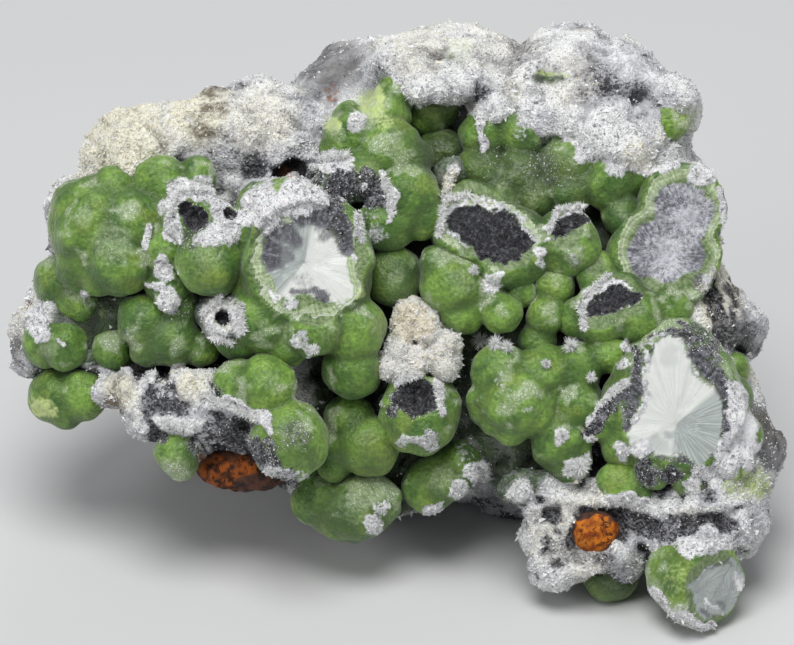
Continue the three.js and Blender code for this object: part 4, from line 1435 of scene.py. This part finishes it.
CRYSTALS = 88000
DRUSE_SEED = 301
DRUSE_TILT = 0.55
SMALLEST = 0.1
SIZE_SPREAD = 0.13
BIG_SHARE = 0.06  # the share of crystals that are bigger than the rest
BIG_GROWTH = 1.4  # how much is added to their size, as a share of it
ROOT = 0.3  # the share of a crystal that is in what it grows on
LOWEST = 0.02  # no crystal reaches further down

TUFT_SEED = 401
TUFT_NEEDLES = 130
FRINGE_NEEDLES = 34  # at each step along a fringe
FRINGE_STEP = 0.4
TUFT_FOOT = 0.5  # the skin so far round a tuft says how high it stands

# Materials of the crystals: dark and light colours and roughness.
WHITE = [(0.58, 0.58, 0.58), (0.84, 0.84, 0.83), 0.35]
FINISHES = {
    "white_left": WHITE,
    "white_right": WHITE,
    "grey": [(0.24, 0.24, 0.25), (0.48, 0.48, 0.50), 0.35],
    "cream": [(0.58, 0.54, 0.42), (0.86, 0.83, 0.70), 0.45],
    "black": [(0.012, 0.012, 0.016), (0.10, 0.10, 0.11), 0.4],
}


def crystal_piece(name, material, slot, feet, along, width, length, turn):
    """Closed three-sided spikes in one mesh, none of them below the base."""
    helper = np.where(np.abs(along[:, 2:3]) < 0.8, [[0.0, 0.0, 1.0]], [[1.0, 0.0, 0.0]])
    side = np.cross(along, helper)
    side /= lengths(side)
    other = np.cross(along, side)
    corners = []
    for n in range(3):
        angle = turn + n * math.tau / 3
        ring = side * np.cos(angle)[:, None] + other * np.sin(angle)[:, None]
        corners.append(feet - along * (ROOT * length)[:, None] + ring * width[:, None])
    corners.append(feet + along * ((1 - ROOT) * length)[:, None])
    points = np.stack(corners, axis=1).reshape(-1, 3)
    points[:, 2] = np.maximum(points[:, 2], LOWEST)
    first = np.arange(len(feet))[:, None, None] * 4
    faces = (first + np.array([[0, 1, 3], [1, 2, 3], [2, 0, 3], [0, 2, 1]])).reshape(-1, 3)
    finish_piece(mesh_piece(name, points, faces, False), material, slot)


def thickness(kind, masks, snow):
    """How thickly crystals lie on a kind of surface, from what it is coated with."""
    if kind == "rock":
        thick = 0.12 * (1 - 0.8 * masks["stone"]) + snow
        # fewer crystals on the rock in the painted shade between the balls
        return thick * (1 - 0.75 * masks["soot"]) * (1 - 0.9 * masks["field"])
    if kind == "pale_crust_lump":
        return 0.8 + 0 * snow
    if kind == "balls":
        thick = 1.3 * snow + 0.7 * masks["soot"] + 0.9 * masks["core_soot"] + 0.2 * masks["felt"]
        return (thick + 0.25 * ramp(masks["frost_and_highlight"], 0.5, 1.0)) * (1 - masks["silk"])
    return 0 * snow


def sprinkle(count, chance):
    """Places for crystals on every surface, the normals there, and how sooty, creamy and fine they are."""
    weights, spots, normals, details = [], [], [], []
    for surface in surfaces:
        quads = surface["quads"]
        kind = surface["kind"]
        masks = {key: value[quads].mean(axis=1) for key, value in surface["masks"].items()}
        corners = surface["points"][quads]
        faces = quad_normals(surface["points"], quads)
        area = np.linalg.norm(faces, axis=1)
        snow = ramp(masks["snow"], 0.5, 0.9) * (1 - 0.9 * masks["stone"])
        show_side = 0.22 + 0.78 * ramp(-corners[:, 0, 1], -6, 2)
        # fewer crystals in crevices, where shade is painted
        thick = thickness(kind, masks, snow) * show_side * (1 - 0.7 * masks["deep"])
        thick = thick * (corners[:, 0, 2] > 0.4)
        weights.append(area * thick)
        spots.append(corners)
        normals.append(faces / (area[:, None] + 1e-12))
        soot = np.maximum(0.7 * masks["soot"], masks.get("core_soot", 0)) * (1 - masks["snow"])
        fine = (1 - snow) * (kind == "balls") * (1 - soot)
        details.append(np.stack([soot, masks["cream"], fine], axis=1))
    total = np.cumsum(np.concatenate(weights))
    picked = np.searchsorted(total, chance.uniform(0, total[-1], count))
    corners = np.concatenate(spots)[picked]
    s, t = chance.uniform(0, 1, (2, count, 1))
    feet = (corners[:, 0] * (1 - s) * (1 - t) + corners[:, 1] * s * (1 - t)
            + corners[:, 2] * s * t + corners[:, 3] * (1 - s) * t)
    return feet, np.concatenate(normals)[picked], np.concatenate(details)[picked].T


def build_druse():
    """Crystals on every coated surface, in one mesh for each finish."""
    chance = np.random.default_rng(DRUSE_SEED)
    feet, normals, (soot, cream, fine) = sprinkle(CRYSTALS, chance)
    along = normals + chance.normal(0, DRUSE_TILT, feet.shape)
    along /= lengths(along)
    size = SMALLEST + SIZE_SPREAD * chance.uniform(0, 1, CRYSTALS) ** 2
    big = chance.uniform(0, 1, CRYSTALS) < BIG_SHARE * (1 - fine)
    size *= (1 + BIG_GROWTH * big) * (1 - 0.5 * fine)
    length = size * chance.uniform(0.9, 1.7, CRYSTALS)
    width = size * chance.uniform(0.5, 0.8, CRYSTALS)
    turn = chance.uniform(0, math.tau, CRYSTALS)
    kind = np.where(feet[:, 0] < 0, "white_left", "white_right")
    shares = {"grey": 0.17 - 0.3 * cream, "cream": 0.75 * cream, "black": ramp(soot, 0.3, 0.8)}
    for name, share in shares.items():
        kind = np.where(chance.uniform(0, 1, CRYSTALS) < share, name, kind)
    for name, finish in FINISHES.items():
        mine = kind == name
        shape = [values[mine] for values in (feet, along, width, length, turn)]
        crystal_piece("druse_" + name, crystal_material("druse " + name, *finish), "matrix_rock", *shape)


def build_tufts():
    """Needles that point all ways out of a few places, in one mesh."""
    chance = np.random.default_rng(TUFT_SEED)
    face = to_face(np.concatenate([surface["points"] for surface in surfaces]))
    seen = as_seen(face)
    feet, along, length = [], [], []
    for row in TUFTS:
        first, last, reach = np.array(row[:2]), np.array(row[-3:-1]), row[-1]
        steps = int(np.hypot(*(last - first)) / FRINGE_STEP) + 1
        for part in np.linspace(0, 1, steps):
            u, v = first + part * (last - first)
            near = np.hypot(seen[:, 0] - u, seen[:, 1] - v) < TUFT_FOOT
            middle = np.array([u, v, face[near, 2].max() - 0.1 * reach])
            needles = TUFT_NEEDLES if steps == 1 else FRINGE_NEEDLES
            rays = chance.normal(0, 1, (needles, 3))
            rays[:, 2] = np.abs(rays[:, 2]) * 0.8
            rays /= lengths(rays)
            feet.append(middle + rays * 0.3 * reach)
            along.append(rays)
            length.append(reach * chance.uniform(0.5, 1.0, len(rays)))
    feet = to_row(np.concatenate(feet))
    along = np.concatenate(along) @ FACE_TURN.T
    width = 0.05 + 0.05 * chance.uniform(0, 1, len(feet))
    turn = chance.uniform(0, math.tau, len(feet))
    material = crystal_material("needles", (0.7, 0.7, 0.7), (0.88, 0.88, 0.87), 0.35)
    crystal_piece("needle_tufts", material, "wavellite", feet, along, width, np.concatenate(length), turn)


# ---- Stage ----

# Soft lights: place and size in metres, power in watts.
LAMPS = [
    ["top light", (-0.05, -0.15, 0.55), 0.35, 2.6],
    ["left light", (-0.5, -0.4, 0.35), 0.3, 1.1],
    ["right light", (0.5, -0.25, 0.3), 0.4, 0.6],
    ["back light", (0.1, 0.5, 0.4), 0.4, 0.8],
]
LIT_PLACE = (0, -0.008, 0.022)
FLOOR_HALF = 900.0  # in millimetres


def lamp(name, place, size, power):
    """A round soft light, turned to the specimen."""
    light = bpy.data.lights.new(name, "AREA")
    light.shape = "DISK"
    light.size = size
    light.energy = power
    holder = placed(bpy.data.objects.new(name, light))
    holder.location = place
    holder.rotation_euler = (Vector(LIT_PLACE) - Vector(place)).to_track_quat("-Z", "Y").to_euler()


def build_stage():
    """A pale floor, four soft lights and a faint sky."""
    corners = FLOOR_HALF * np.array([[-1, -1, 0], [1, -1, 0], [1, 1, 0], [-1, 1, 0]])
    floor = mesh_piece("floor", corners, np.array([[0, 1, 2, 3]]), False)
    recipe = Recipe("floor")
    colour = recipe.mix(recipe.grain(60), (0.60, 0.60, 0.60), (0.62, 0.62, 0.62))
    floor.data.materials.append(recipe.close(colour, 0.9, recipe.grain(4), 0.01))
    for row in LAMPS:
        lamp(*row)
    world = bpy.data.worlds.new("studio")
    world.use_nodes = True
    background = world.node_tree.nodes["Background"]
    background.inputs["Color"].default_value = (0.9, 0.95, 1.0, 1)
    background.inputs["Strength"].default_value = 0.2
    bpy.context.scene.world = world
    bpy.context.scene.view_settings.view_transform = "Standard"


def build_camera():
    """A camera that looks straight at the face."""
    data = bpy.data.cameras.new("camera")
    data.lens = LENS
    data.sensor_width = 36.0
    data.clip_start = 0.01
    data.clip_end = 10.0
    camera = placed(bpy.data.objects.new("camera", data))
    away = Vector(FACE_TURN[:, 2]) * CAMERA_DISTANCE * METRES
    camera.location = Vector(FACE_MIDDLE) * METRES + away
    camera.rotation_euler = (-away).to_track_quat("-Z", "Y").to_euler()
    bpy.context.scene.camera = camera


nodule = limonite_material("limonite nodule", (0.22, 0.045, 0.004), (0.56, 0.17, 0.012))
# The seam's darker colours are painted shade: it lies under the arm.
seam = limonite_material("limonite seam", (0.035, 0.014, 0.008), (0.34, 0.085, 0.012))
build_rock(rock_material())
build_patch("pale_crust_lump", crust_material(), "pale_crust", [(1.6, 0.55, 61), (0.85, 0.5, 65)])
build_patch("limonite_nodule", nodule, "limonite", [(1.2, 0.15, 71)])
build_patch("limonite_seam", seam, "limonite", [(1.6, 0.6, 75), (0.8, 0.25, 78)])
build_balls(wavellite_material())
build_druse()
build_tufts()
build_stage()
build_camera()
